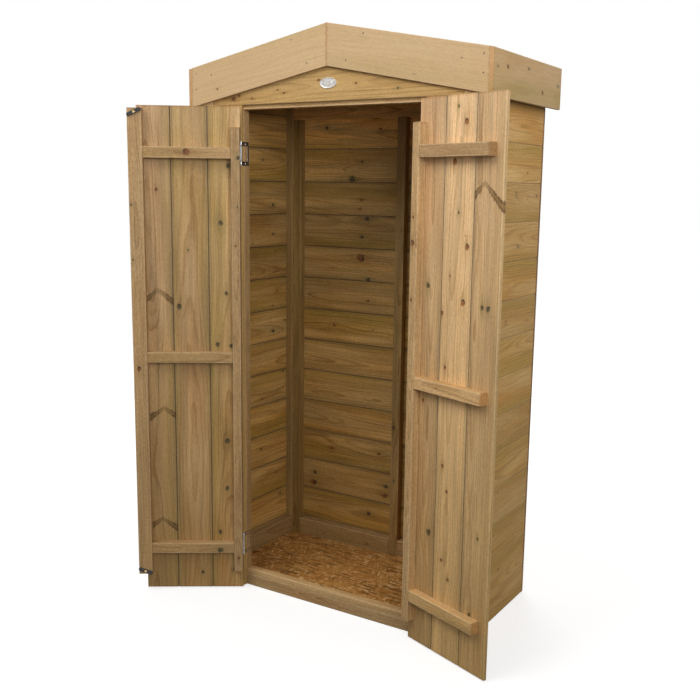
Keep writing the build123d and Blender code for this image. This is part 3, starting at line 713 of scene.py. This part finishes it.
def clouded_metal(name, bright, dull, metallic, smooth, rough, patch_mm):
    """Noise of one patch size mixes two colours and two roughnesses."""
    made = bpy.data.materials.new(name)
    add = bare(made)
    place = add("TexCoord", out="Object")
    patches = {"Vector": place, "Scale": 1 / (patch_mm * MM), "Detail": 4.0, "Roughness": 0.65}
    cloud = add("MapRange", add("TexNoise", patches, out="Fac"), *cloud_range)
    colour = add("Mix", {0: cloud, 6: linear(bright), 7: linear(dull)}, out=2, data_type="RGBA")
    gloss = add("MapRange", cloud, 0.0, 1.0, smooth, rough)
    bump = add("Bump", {"Strength": 0.1, "Distance": metal_relief * MM, "Height": cloud})
    feeds = {"Base Color": colour, "Metallic": metallic, "Roughness": gloss, "Normal": bump}
    add("OutputMaterial", add("BsdfPrincipled", feeds))
    return made


def mineral_felt(name, base, grit, grit_mm):
    """Cells of grit size, each with its own shade, raised by their distance from the cell's middle."""
    made = bpy.data.materials.new(name)
    add = bare(made)
    place = add("TexCoord", out="Object")
    grain = add("TexVoronoi", {"Vector": place, "Scale": 1 / (grit_mm * MM)}, out="Color")
    worn = add("TexNoise", {"Vector": place, "Scale": 1 / (felt_worn * MM), "Detail": 3.0}, out="Fac")
    shade = add("Math MULTIPLY_ADD", worn, worn_share, add("SeparateColor", grain))
    shade = add("MapRange", shade, *felt_range)
    colour = add("Mix", {0: shade, 6: linear(base), 7: linear(grit)}, out=2, data_type="RGBA")
    raised = {"Strength": 0.6, "Distance": grit_relief * MM, "Height": grain.node.outputs["Distance"]}
    bump = add("Bump", raised, invert=True)
    feeds = {"Base Color": colour, "Roughness": 0.9, "Normal": bump, "Specular IOR Level": 0.25}
    add("OutputMaterial", add("BsdfPrincipled", feeds))
    return made


# Bright and silvery, a little cloudy
finish["zinc_plated_steel"] = clouded_metal("bright_zinc_plate", "#d3d6d8", "#a9adb0", 1.0, 0.24, 0.42, 6)
# Near black, with the soft shine of baked enamel
finish["black_steel"] = clouded_metal("black_stoved_enamel", "#1b1a19", "#2c2a28", 0.0, 0.28, 0.45, 8)
# Pale grey with a satin shine
finish["plaque"] = clouded_metal("pressed_aluminium", "#cfccc8", "#9c9791", 1.0, 0.42, 0.6, 7)
# Matt green grey with a fine speckle of grit
finish["roofing_felt"] = mineral_felt("mineral_felt", "#2c302d", "#565c55", 3.0)
# Brownish and dull, as weathered nails are
dull_nail = clouded_metal("dull_galvanised_steel", "#7d756a", "#544b41", 1.0, 0.45, 0.65, 2)
# A warm straw-coloured shine
yellow_zinc = clouded_metal("yellow_zinc_plate", "#d9c08a", "#b59a63", 1.0, 0.25, 0.4, 3)
print("finishes:", sorted(finish))

# %% [markdown]
# ## Boarded walls, gable and doors
# The wall courses are matched boards that run level; the door boards stand upright. A course under the roof
# is cut along the slope, which only moves the ends of its grid. Knots that the photograph shows are traced
# back along the camera's sight lines to the face that carries them, and other stretches get strewn ones.

# %% Boards side by side
slope_breaks = 7


def traced(bench, inward, marks):
    """Knots of a face from pixels of the photograph: local place of each sight line, with the size in mm."""
    marks = np.asarray(marks, dtype=float).reshape(-1, 3)
    origin, axes = bench
    local = (on_plane(marks[:, :2], origin + inward * axes[2], axes[2]) - origin) @ axes.T
    return np.column_stack([local[:, :2], marks[:, 2]])


def matched_boards(name, node_name, bench, widths, length, knots, shades, spikes=(), under=None, every=260,
                   unseen=(0, 1), look=None, inner_painted_light=None):
    """Boards side by side; under gives the half length that the roof leaves at a height above the bench.

    Inner faces are lighter or darker from board to board as painted light and shade,
    which the outer faces don't take.
    """
    boards, start, last = [], 0.0, len(widths) - 1
    for index, width in enumerate(widths):
        wide = width - joint_gap
        breaks = np.linspace(0, wide, slope_breaks)[1:-1] if under else np.array([])
        section, dim = matched_section(wide, index > 0, index < last, breaks)
        # Painted light and shade, on the inner face only
        if inner_painted_light is not None:
            dim = np.where(section[:, 1] > board_thick / 2, dim * inner_painted_light[index], dim)
        section = section + [start, 0]
        half = under(section[:, 0]) if under else np.full(len(section), length / 2)
        mine = knots[(knots[:, 1] > start) & (knots[:, 1] < start + wide)]
        spread = strewn(length * (unseen[1] - unseen[0]), wide, every) + [length * unseen[0], start, 0]
        sharp = [row for row in spikes if start < row[1] < start + wide]
        marks = np.concatenate([mine, spread])
        ends = (length / 2 - half, length / 2 + half)
        boards.append(board(bench, section, *ends, marks, sharp, shades[index % len(shades)], dim))
        start += width
    return gathered(name, boards, node_name, look)


def roof_half(limit, foot):
    """Half length left under the roof: (apex - height) / slope, no more than the wall and never nothing."""
    return lambda across: np.clip((under_apex - foot - across) / slope, 1.0, limit)


def courses(top):
    """Course heights from the ground: a first one, whole ones, and what is left under the roof."""
    whole = round((top - first_course) / board_cover) - 1
    return [first_course] + [board_cover] * whole + [top - first_course - whole * board_cover + joint_gap]


inside = half_depth - board_thick
X, Y, Z = np.eye(3)
left_wall = (np.array([-half_width, -inside, 0]), np.array([Y, Z, X]))
right_wall = (np.array([half_width, inside, 0]), np.array([-Y, Z, -X]))
back_wall = (np.array([-half_width, half_depth, 0]), np.array([X, Z, -Y]))
gable = (np.array([cladding_edge, -half_depth, gable_bottom]), np.array([-X, Z, Y]))
side_courses = courses(under_apex - slope * half_width)
back_courses = courses(under_apex + roof_fit)
back_courses[-1] -= joint_gap
print("courses:", len(side_courses), "on each side and", len(back_courses), "at the back")

# %% Side walls
left_marks = [
    (263, 160, -4), (273, 205, -6), (273, 234, -4), (277, 291, 4), (285, 320, -4), (273, 331, -7),
    (261, 449, 5), (288, 465, -4), (276, 473, 3), (280, 493, -4), (262, 399, 3), (283, 371, -4),
]
right_marks = [
    (527.7, 173, 3), (518, 246.6, -4), (516, 192.5, -3), (536.6, 196, 4), (530, 411, 6), (524.5, 543, -6),
]
inner_shades = [(0.97, 0.6, 4.2), (1.03, 0.7, 5.0), (0.95, 0.5, 3.6)]
# Each course has its own tone, and the whole right wall is lightened as painted light
right_shades = [(1.17, 0.8, 4.2), (1.22, 0.85, 5.0), (1.14, 0.75, 3.6)]
# Painted light and shade on the inner face: darker where lamps shine in, lighter in the header's shadow
left_wall_painted_light = np.interp(np.arange(len(side_courses)), [0, 3, 7.5, 10, 13], [1.0, 1.13, 0.97, 0.7, 1.1])
matched_boards("left_wall_courses", "left_wall_boards", left_wall, side_courses, 2 * inside,
               traced(left_wall, board_thick, left_marks), inner_shades, every=900,
               look="inner_boards", inner_painted_light=left_wall_painted_light)
matched_boards("right_wall_courses", "right_wall_boards", right_wall, side_courses, 2 * inside,
               traced(right_wall, 0, right_marks), right_shades, every=700)
print("knots traced on the side walls:", len(left_marks) + len(right_marks))

# %% Back wall and gable
back_marks = [
    (327, 128, -6), (376, 117, 8), (380.5, 129, 5), (362, 162, -5), (352, 179, -11), (361, 200, 5),
    (360, 209, 4), (367, 219, -8), (362, 237, -6), (360.5, 258, 14), (368, 280, -8), (368, 301, 5),
    (334, 325, 5), (373, 330, 3), (332, 448, 5), (379, 454, 6), (315, 472, -7), (313.5, 482, 12),
    (385.5, 486.5, -8), (384.5, 496, 8), (368.5, 513.5, -8),
]
gable_marks = [
    (234, 99, 8), (239, 96, 5), (252, 98.5, 3), (277.5, 90, 3), (284, 93, 3), (356, 83, 3), (398, 88, -3),
]
# Painted light and shade on the inner face: darker where lamps shine in, lighter in the header's shadow
back_wall_painted_light = np.interp(np.arange(len(back_courses)), [0, 6, 10.5, 13], [0.94, 1.06, 0.74, 1.6])
gable_courses = [board_cover, under_apex - gable_bottom - board_cover]
matched_boards("back_wall_courses", "back_wall_boards", back_wall, back_courses, 2 * half_width,
               traced(back_wall, board_thick, back_marks), inner_shades, under=roof_half(half_width, 0),
               unseen=(0.55, 1), look="inner_boards", inner_painted_light=back_wall_painted_light)
matched_boards("gable_courses", "gable_boards", gable, gable_courses, 2 * cladding_edge,
               traced(gable, 0, gable_marks), [(0.9, 0.3, 6.0)],
               under=roof_half(cladding_edge, gable_bottom), every=2000)
print("knots traced on the back and the gable:", len(back_marks) + len(gable_marks))

# %% Door boards
outer_board = (free_edge - door_edge - board_cover) / 2
door_widths = [outer_board, board_cover, outer_board + joint_gap]
door_marks = {
    "left": [
        (156.2, 189.4, 5), (179.5, 306.5, -8), (188, 250, -3), (228, 166, -7), (220.6, 223, -8),
        (226.3, 293.3, -6), (217.5, 344.5, -7), (231.5, 346, -7), (227.5, 441, -8), (227.5, 488, -7),
        (220.5, 532, -7), (235, 569, -6),
    ],
    "right": [
        (467, 121.4, 8), (459, 106, -4), (455, 161.3, 8), (458.6, 212.5, -4), (467, 247, 8),
        (428.2, 285.4, -7), (463, 302.7, 8), (442, 313, 6), (482, 308, -6), (488, 309, -7),
        (450, 276, 3), (445, 367.5, 5), (442.5, 466, 5), (446.5, 492, 5), (428.5, 532.5, -9),
        (441, 560, 5), (447.5, 580, 5), (423, 400, 5), (477.5, 539, -4), (469, 615, -5),
    ],
}
door_spikes = {"left": [(158, 290, 0.8), (164.5, 408, 0.7), (163, 518.5, 0.7)], "right": [(485, 183, 0.92)]}
# Each board has its own tone, and the left door's boards are also darkened as painted shade
door_shades = {
    "left": [(1.03, 0.6, 4.5), (0.85, 0.6, 6.0), (0.88, 0.35, 4.0)],
    "right": [(1.15, 0.3, 4.0), (1.4, 0.05, 5.0), (1.03, 0.4, 4.0)],
}
for side_name, leaf, near in (("left", left_leaf, door_edge), ("right", right_leaf, -free_edge)):
    origin, axes = leaf
    upright = (origin + axes.T @ [near, door_outer, door_bottom], axes[[2, 0, 1]])
    knots, spikes = [traced(upright, board_thick, marks[side_name]) for marks in (door_marks, door_spikes)]
    matched_boards(side_name + "_door_planks", side_name + "_door_boards", upright, door_widths,
                   door_top - door_bottom, knots, door_shades[side_name], spikes, every=5000,
                   look="door_boards")
print("door boards:", 2 * len(door_widths))

# %% [markdown]
# ## Framing timbers and plain boards
# Battens, rails and posts are lengths of squared softwood. Where the CAD node is one straight length, its
# box in the frame gives all the sizes, and the longest side is the way the grain runs.

# %% Squared timbers
timber_ease = 2.0
plain = (1.0, 0.3, 3.6)
timber_knots_every, largest_timber_knot = 420, 9


def timber(bench, low, high, face=None, shown=0, marks=None, ease=timber_ease, shade=plain):
    """One squared length between opposite corners in a bench, its grain along the longest side.

    Knots lie on the two sides across the face axis; marks are pixels on the low (0) or high (1) one of them.
    """
    low, high = np.asarray(low, dtype=float), np.asarray(high, dtype=float)
    size = high - low
    along = int(size.argmax())
    face = int(size.argmin()) if face is None else face
    across = 3 - along - face
    hand = 1 if (across - along) % 3 == 1 else -1
    corner = np.where((np.arange(3) == across) & (hand < 0), high, low)
    origin, axes = bench
    lying = (origin + corner @ axes, axes[[along, across, face]] * [[1], [hand], [1]])
    length, wide, deep = size[[along, across, face]]
    if marks is None:
        knots = strewn(length, wide, timber_knots_every, min(wide / 4, largest_timber_knot))
    else:
        knots = traced(lying, shown * deep, marks)
    return board(lying, eased_box(wide, deep, min(ease, deep / 4)), 0, length, knots, shade=shade)


def box_mm(name):
    """Lowest and highest corner of a CAD node in millimetres."""
    return np.array(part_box(name)) / MM


print("a rail is made from the corners of its box")

# %% Straight lengths of the cabinet
bearer_deep, middle_batten_wide = 38, 34
# The axis across the face that shows, which of its two sides it is, and the knots there
photo_marks = {
    "back_left_batten": (1, 0, [(304.5, 205.5, 7), (305, 294.5, 9)]),
    "right_fascia": (0, 1, [(498, 66, -3), (508, 66.5, 6), (529, 69, -4), (542.6, 93, 6), (558, 86.5, -4)]),
}
shade_of = {
    "left_fascia": (1.0, 0.5, 5.0), "right_fascia": (1.02, 0.6, 5.0),
    # Painted shade darkens the left door post
    "left_door_post": (0.88, 0.4, 3.6), "right_door_post": (0.7, 0.5, 3.6),
    # Painted shade darkens the battens inside the cabinet
    "left_rear_batten": (0.62, 0.4, 3.6), "right_rear_batten": (0.62, 0.4, 3.6),
    "back_left_batten": (0.58, 0.4, 3.6), "back_middle_batten": (0.66, 0.4, 3.6),
    # Painted light lightens the back top rail, which lies in the header's shadow
    "back_top_rail": (1.6, 0.4, 3.6), "left_bottom_rail": (0.72, 0.4, 3.6),
    "front_base_rail": (0.86, 0.5, 3.6), "sill_rail": (1.12, 0.3, 3.6), "header_rail": (1.2, 0.3, 3.6),
}
inner_lengths = {
    "back_left_batten", "back_middle_batten", "left_rear_batten", "right_rear_batten", "back_top_rail",
}
straight = [name for name, slot in slot_of.items() if slot == "framing_timber" and body_of[name] == "cabinet"]
straight = [name for name in straight if name not in ("floor_bearers", "back_bottom_rails")]
straight += ["left_side_board", "right_side_board", "left_fascia", "right_fascia"]
for name in straight:
    made = timber(room, *box_mm(name), *photo_marks.get(name, ()), shade=shade_of.get(name, plain))
    gathered(name + "_length", [made], name, "inner_boards" if name in inner_lengths else None)
print("straight lengths:", len(straight))

# %% Bearers under the floor and rails beside the middle batten
low, high = box_mm("floor_bearers")
rows = [(low[1], low[1] + bearer_deep), (-bearer_deep / 2, bearer_deep / 2), (high[1] - bearer_deep, high[1])]
bearers = [timber(room, [low[0], near, low[2]], [high[0], far, high[2]]) for near, far in rows]
gathered("floor_bearer_lengths", bearers, "floor_bearers")
low, high = box_mm("back_bottom_rails")
rows = [(low[0], -middle_batten_wide / 2), (middle_batten_wide / 2, high[0])]
rail_shade = (0.84, 0.4, 3.6)
rails = [timber(room, [near, *low[1:]], [far, *high[1:]], shade=rail_shade) for near, far in rows]
gathered("back_bottom_rail_lengths", rails, "back_bottom_rails")
print("bearers and rails:", len(bearers), "and", len(rails))

# %% Stiles, ledges and meeting strip of the doors
stile_marks = {"left": None, "right": [(412.5, 243, 8), (413, 217, 4), (411, 300, 4)]}
top_ledge_marks = {"left": [(186, 151.5, 10)], "right": []}
stile_shade = {"left": (0.8, 0.4, 3.6), "right": (1.0, 0.2, 3.6)}
# Painted light lightens the right door's lower two ledges, where the lamps' light falls off
ledge_light = {"left": (0.87, 0.93, 0.88), "right": (1.28, 1.3, 0.82)}
for hand, side_name, leaf in ((1, "left", left_leaf), (-1, "right", right_leaf)):
    near, far = np.sort([hand * door_edge, hand * (door_edge + stile_wide)])
    low, high = [near, door_inner, stile_bottom], [far, door_frame, stile_top]
    stile = timber(leaf, low, high, 1, 1, stile_marks[side_name], shade=stile_shade[side_name])
    gathered(side_name + "_stile", [stile], side_name + "_door_stile")
    tip = strip_inside if hand > 0 else right_ledge_end
    near, far = np.sort([hand * (door_edge + stile_wide), hand * tip])
    ledges = []
    for height, light in zip(ledge_heights, ledge_light[side_name]):
        marks = top_ledge_marks[side_name] if height == ledge_heights[-1] else None
        low, high = [near, door_inner, height - ledge_tall / 2], [far, door_frame, height + ledge_tall / 2]
        ledges.append(timber(leaf, low, high, 1, 1, marks, shade=(light, 0.4, 3.6)))
    gathered(side_name + "_ledges", ledges, side_name + "_door_ledges")
strip_marks = [(139, 369, 7), (131, 205, -3), (133, 260, -3)]
low, high = [strip_inside, door_inner + strip_relief, strip_bottom], [strip_tip, door_frame, strip_top]
strip = timber(left_leaf, low, high, 1, 1, strip_marks, shade=(0.88, 0.4, 3.6))
gathered("meeting_strip_length", [strip], "meeting_strip")
print("door framing made")

# %% [markdown]
# ## Roof trim
# Bargeboards slope with the roof and are cut upright where they meet, and the corner strips end under the
# slope. A leaning bench does the first: its along axis falls with the roof while its across axis stays
# upright.

# %% Bargeboards and corner strips
trim_ease = 1.5
barge_shade = (0.88, 0.15, 6.5)
barge_knots_every, strip_knots_every, largest_trim_knot = 600, 500, 4
corner_strip_long, corner_strip_wide = 1700, 47
both_sides = ((-1, "left"), (1, "right"))


def roof_bench(side, rear, top):
    """A bench on one slope of the roof: along falls with it, across points down, inward runs level."""
    return np.array([0, rear, top]), np.array([[side, 0, -slope], [0, 0, -1], [0, side, 0]])


for side, side_name in both_sides:
    for front, where in ((-1, "front"), (1, "rear")):
        face = front * half_depth - board_thick * (front < 0) + board_thick * (side < 0)
        section = eased_box(barge_tall, board_thick, trim_ease)
        marks = strewn(trim_inside, barge_tall, barge_knots_every, largest_trim_knot)
        lying = roof_bench(side, face, apex_height)
        made = board(lying, section, roof_fit / 2, trim_inside, marks, shade=barge_shade)
        gathered(f"{where}_{side_name}_barge", [made], f"{where}_{side_name}_bargeboard")
    low, high = box_mm(side_name + "_corner_strip")
    section = eased_box(high[0] - low[0], board_thick, trim_ease)
    top = under_apex - slope * np.abs(low[0] + section[:, 0])
    marks = strewn(corner_strip_long, corner_strip_wide, strip_knots_every, largest_trim_knot)
    made = board((np.array([low[0], low[1], 0]), np.array([Z, X, Y])), section, 0, top, marks)
    gathered(side_name + "_corner_cover", [made], side_name + "_corner_strip")
print("roof trim made")

# %% [markdown]
# ## Floor, deck and felt
# The floor is one strand board sheet and the deck is two, a leaf to each slope. The felt lies over both and
# bends over the ridge, so it is one closed section, carried from front to back, whose ridge is rounded by
# taking the height from sqrt(x^2 + r^2) in place of |x|. Large-headed nails hold its edges.

# %% Floor and deck sheets
sheet_ease = 0.6
gathered("floor_sheet", [timber(room, *box_mm("floor_panel"), marks=[], ease=sheet_ease)], "floor_panel")
for side, side_name in both_sides:
    section = eased_box(deck_under_drop - deck_top_drop, 2 * half_depth, sheet_ease)
    lying = roof_bench(side, -side * half_depth, apex_height - deck_top_drop)
    made = board(lying, section, roof_fit / 2, trim_inside)
    gathered(side_name + "_deck_sheet", [made], side_name + "_roof_deck")
print("sheets made")

# %% Felt over the ridge
felt_thick, ridge_round, felt_steps = 2, 9, 61


def felt_section():
    """Top edge z = -slope * (sqrt(x^2 + r^2) - r) from eaves to eaves, and back one felt thickness lower."""
    spread = trim_inside * np.sin(np.linspace(-np.pi / 2, np.pi / 2, felt_steps)) ** 3
    top = -slope * (np.hypot(spread, ridge_round) - ridge_round)
    under = np.column_stack([spread, top - felt_thick])
    return np.concatenate([under, np.column_stack([spread, top])[::-1]])


felt_rise = apex_height - deck_top_drop + felt_thick - slope * ridge_round
felt_bench = (np.array([0, half_depth, felt_rise]), np.array([-Y, X, Z]))
felt = board(felt_bench, felt_section(), 0, 2 * half_depth)
piece("felt_sheet", *felt[:3], finish["roofing_felt"], ["roof_felt"])
print("felt section of", 2 * felt_steps, "points")

# %% [markdown]
# ## Nails, screws and plaque
# A nail head is a low dome and a screw head has a cross pressed into it. Both are a height over a disc,
# given by the distance from the middle and the angle. The plaque is an oval of pressed sheet with a raised
# rim, left bare.

# %% Round heads
head_rings, head_turns, head_hub = 9, 24, 0.04
cross_arm, arm_soft, arm_reach, arm_fall = 0.11, 1.6, 3.2, 4.2


def heads(name, seats, head, material, nodes=(), body=None, cross=0.0):
    """Height = proud * (1 - r^2), less a cross whose arms are |x| or |y| under a tenth of the width.

    Each seat is a place and a normal, and a head is its radius and how proud it stands.
    """
    radius, proud = head
    place, normal = [np.asarray(rows, dtype=float) for rows in zip(*seats)]
    reach = np.concatenate([np.linspace(head_hub, 1, head_rings), [1.0]])
    turn = np.linspace(0, 2 * np.pi, head_turns, endpoint=False)
    x, y = reach[:, None] * np.cos(turn), reach[:, None] * np.sin(turn)
    slots = np.clip(arm_soft - np.minimum(np.abs(x), np.abs(y)) / cross_arm, 0, 1)
    slots = slots * np.clip(arm_reach - arm_fall * np.hypot(x, y), 0, 1)
    rise = proud * (1 - np.hypot(x, y) ** 2) - cross * slots
    rise[-1] = -proud - cross
    side = np.cross(normal, np.where(np.abs(normal[:, 2:]) > 0.9, X, Z))
    side = side / np.linalg.norm(side, axis=1, keepdims=True)
    upright = np.cross(normal, side)
    disc = x[..., None] * side[:, None, None] + y[..., None] * upright[:, None, None]
    points = place[:, None, None] + radius * disc + rise[..., None] * normal[:, None, None]
    corners, counts = tube(head_turns, len(reach), turned=True)
    corners = (corners + reach.size * head_turns * np.arange(len(place))[:, None]).ravel()
    counts = np.tile(counts, len(place))
    return piece(name, points.reshape(-1, 3), corners, counts, material, nodes, body, smooth=True)


print("a head has", head_rings * head_turns, "points on its dome")

# %% Nails in the bargeboards
trim_nail = (2.5, 0.5)
nail_places = [(trim_inside - 18, 22), (trim_inside - 18, 72), (trim_inside - 83, 42), (128, 16), (70, 98)]


def roof_line(run, drop):
    """Height of a point on a bargeboard, from its distance along and its drop below the top edge."""
    return apex_height - slope * run - drop


nail_seats = [
    ((side * run, front * (half_depth + board_thick), roof_line(run, drop)), (0, front, 0))
    for side in (-1, 1) for front in (-1, 1) for run, drop in nail_places
]
heads("trim_nail_heads", nail_seats, trim_nail, dull_nail, ["trim_nails"])
print("trim nails:", len(nail_seats))

# %% Screws
screw_head, screw_cross = (3.0, 0.3), 0.7
plate, hinge_levels = 1.5, (ledge_heights[0], ledge_heights[2])
post_face, frame_screw_in, frame_screw_rise = 332, 22, 31
leaf_screw_in, leaf_screw_rise = 24, 14
staple_along, staple_out, hasp_level = 296, 19, 905
hasp_runs, hasp_screw_rise = (283.9, 302.9), 13


def on_leaf(leaf, along, inward, height):
    """A point of a door given in its own frame."""
    return leaf[0] + np.array([along, inward, height]) @ leaf[1]


def edge_seats(hand, leaf):
    """Hinge screws in the hinge edge of a door."""
    return [
        (on_leaf(leaf, hand * (door_edge - plate), leaf_screw_in, height + rise), -hand * leaf[1][0])
        for height in hinge_levels for rise in (-leaf_screw_rise, leaf_screw_rise)
    ]


frame_seats = [
    ((side * (post_face - plate), axis_y + frame_screw_in, height + rise), (-side, 0, 0))
    for side in (-1, 1) for height in hinge_levels for rise in (-frame_screw_rise, frame_screw_rise)
]
staple_seats = [
    (on_leaf(left_leaf, staple_along + out, door_outer - plate, hasp_level), -left_leaf[1][1])
    for out in (-staple_out, staple_out)
]
hasp_seats = [
    (on_leaf(right_leaf, -run, door_outer - plate, hasp_level + rise), -right_leaf[1][1])
    for run in hasp_runs for rise in (-hasp_screw_rise, hasp_screw_rise)
]
screw_seats = {
    "frame": frame_seats,
    "left_door": edge_seats(1, left_leaf) + staple_seats,
    "right_door": edge_seats(-1, right_leaf) + hasp_seats,
}
for where, seats in screw_seats.items():
    heads(where + "_screw_heads", seats, screw_head, finish["zinc_plated_steel"], [where + "_screws"],
          cross=screw_cross)
print("screws:", sum(map(len, screw_seats.values())))

# %% Felt nails
felt_nail_head = (6.0, 0.9)
felt_nail_step, felt_nail_in, eaves_share = 82, 16, 0.95
# Light grey and dull, with a faint spangle
galvanised = clouded_metal("galvanised_clout", "#b9b6ae", "#8b877e", 1.0, 0.4, 0.6, 3)
along_eaves = np.arange(-3, 4) * felt_nail_step * eaves_share
along_verge = np.arange(1, 7) * felt_nail_step
eaves = [[side * (trim_inside - felt_nail_in), y] for side in (-1, 1) for y in along_eaves]
verge = [
    [side * x, front * (half_depth - felt_nail_in)]
    for side in (-1, 1) for front in (-1, 1) for x in along_verge
]
spots = np.array(eaves + verge)
tops = felt_rise - slope * (np.hypot(spots[:, 0], ridge_round) - ridge_round)
fall = np.column_stack([slope * np.sign(spots[:, 0]), np.zeros(len(spots)), np.ones(len(spots))])
seats = list(zip(np.column_stack([spots, tops]), fall / np.hypot(1, slope)))
clouts = heads("felt_nail_heads", seats, felt_nail_head, galvanised, body="cabinet")
print("felt nails:", len(spots))

# %% The bare plaque
plaque_half_long, plaque_half_tall, plaque_level = 30, 16, 1680
plaque_reach = np.array([0.02, 0.3, 0.6, 0.78, 0.82, 0.86, 0.9, 0.94, 0.97, 0.99, 1.0, 1.0])
plaque_rise = np.array([1.35, 1.32, 1.22, 1.1, 1.15, 1.5, 1.9, 2.0, 1.9, 1.65, 1.2, 0.0])
plaque_turns = 72


def oval(reach, rise, turns):
    """Rings of an ellipse: across = reach * half length * cos, up = reach * half height * sin, out = rise."""
    turn = np.linspace(0, 2 * np.pi, turns, endpoint=False)
    across = reach[:, None] * plaque_half_long * np.cos(turn)
    upward = reach[:, None] * plaque_half_tall * np.sin(turn)
    outward = np.broadcast_to(rise[:, None], across.shape)
    return np.stack([across, -half_depth - outward, plaque_level + upward], -1).reshape(-1, 3)


rim_points = oval(plaque_reach, plaque_rise, plaque_turns)
rim_faces = tube(plaque_turns, len(plaque_reach), turned=True)
piece("plaque_oval", rim_points, *rim_faces, finish["plaque"], ["gable_plaque"], smooth=True)
print("plaque of", len(plaque_reach), "rings")

# %% [markdown]
# ## Ironmongery
# The hinges, hasp, staple and turn buttons have the right shapes in the CAD model, so those nodes stay.
# They only get their finish and a fine rounded edge. Their meshes are loose triangles, so a weld comes
# before the bevel.

# %% Finishes and edges for the metal nodes
weld_reach, metal_ease, sharp_from = 0.01, 0.35, 40
for name, slot in slot_of.items():
    metal = frame["nodes"][name]
    if slot in ("zinc_plated_steel", "black_steel") and not metal.hide_render:
        metal.data.materials.clear()
        metal.data.materials.append(yellow_zinc if name == "button_screws" else finish[slot])
        weld = metal.modifiers.new("weld", "WELD")
        weld.merge_threshold = weld_reach * MM
        edge = metal.modifiers.new("edge", "BEVEL")
        edge.width, edge.segments = metal_ease * MM, 2
        edge.limit_method, edge.angle_limit = "ANGLE", np.radians(sharp_from)
print("metal nodes dressed")

# %% [markdown]
# ## Stage and light
# The photograph is a studio picture on white. The floor and the world show white to the camera. The floor
# is grey paint with a glow that grows with the distance, as the light of the lamps falls, so it keeps a
# soft shadow at the foot of the cabinet. Large soft lamps at the front left, the front right and the back
# light it at a plain level.

# %% Floor and world
floor_half, floor_drop = 30000, 0.5
glow_from, glow_to = (0.9, 0.66), (3.0, 0.79)
plain_ambient = 0.44
white_light = (1, 1, 1, 1)


def seen(add):
    """1 on rays from the camera, a mirror or glass, and 0 on rays that carry light to the cabinet."""
    path = add("LightPath").node.outputs
    either = add("Math MAXIMUM", path["Is Camera Ray"], path["Is Glossy Ray"])
    return add("Math MAXIMUM", either, path["Is Transmission Ray"])


# Matt grey paint, which shows as white with a soft shadow
ground = bpy.data.materials.new("studio_floor")
add = bare(ground)
shown = seen(add)
paint = add("Mix", {0: shown, 6: linear("#5c5c5c"), 7: linear("#bcbcbc")}, out=2, data_type="RGBA")
away = add("VectorMath LENGTH", add("TexCoord", out="Object"), out="Value")
glow = add("MapRange", away, glow_from[0], glow_to[0], glow_from[1], glow_to[1])
glow = add("Emission", {"Color": white_light, "Strength": add("Math MULTIPLY", shown, glow)})
add("OutputMaterial", add("AddShader", add("BsdfDiffuse", {"Color": paint}), glow))
floor_points = floor_half * np.array([(-1, -1, 0), (1, -1, 0), (1, 1, 0), (-1, 1, 0)])
floor = piece("studio_floor", floor_points - [0, 0, floor_drop], [0, 1, 2, 3], [4], ground)

world = bpy.data.worlds.new("studio")
bpy.context.scene.world = world
add = bare(world)
strength = add("MapRange", seen(add), 0.0, 1.0, plain_ambient, 1.0)
add("OutputWorld", add("Background", {"Color": white_light, "Strength": strength}))
print("floor of", 2 * floor_half * MM, "metres")


# %% Lamps
def softbox(name, place, aim, side, watts, spread=180):
    """A square area lamp in metres that faces a point; a grid in front narrows its spread."""
    lamp = bpy.data.lights.new(name, "AREA")
    lamp.size, lamp.energy, lamp.spread = side, watts, np.radians(spread)
    made = bpy.data.objects.new(name, lamp)
    depth = np.subtract(place, aim) / np.linalg.norm(np.subtract(place, aim))
    flat = np.cross(Z, depth)
    flat = flat / np.linalg.norm(flat)
    made.matrix_world = placed([flat, np.cross(depth, flat), depth], place)
    bpy.context.scene.collection.objects.link(made)


softbox("key_softbox", (-0.8, -2.2, 3.7), (0, 0, 1.6), 2.0, 29, 120)
softbox("side_softbox", (2.7, -2.5, 2.2), (0, 0, 2.0), 1.8, 25, 100)
softbox("back_softbox", (-1.8, 3.4, 3.2), (0, 0, 1.0), 2.4, 75)
bpy.context.scene.view_settings.view_transform = "Standard"
print("stage set")
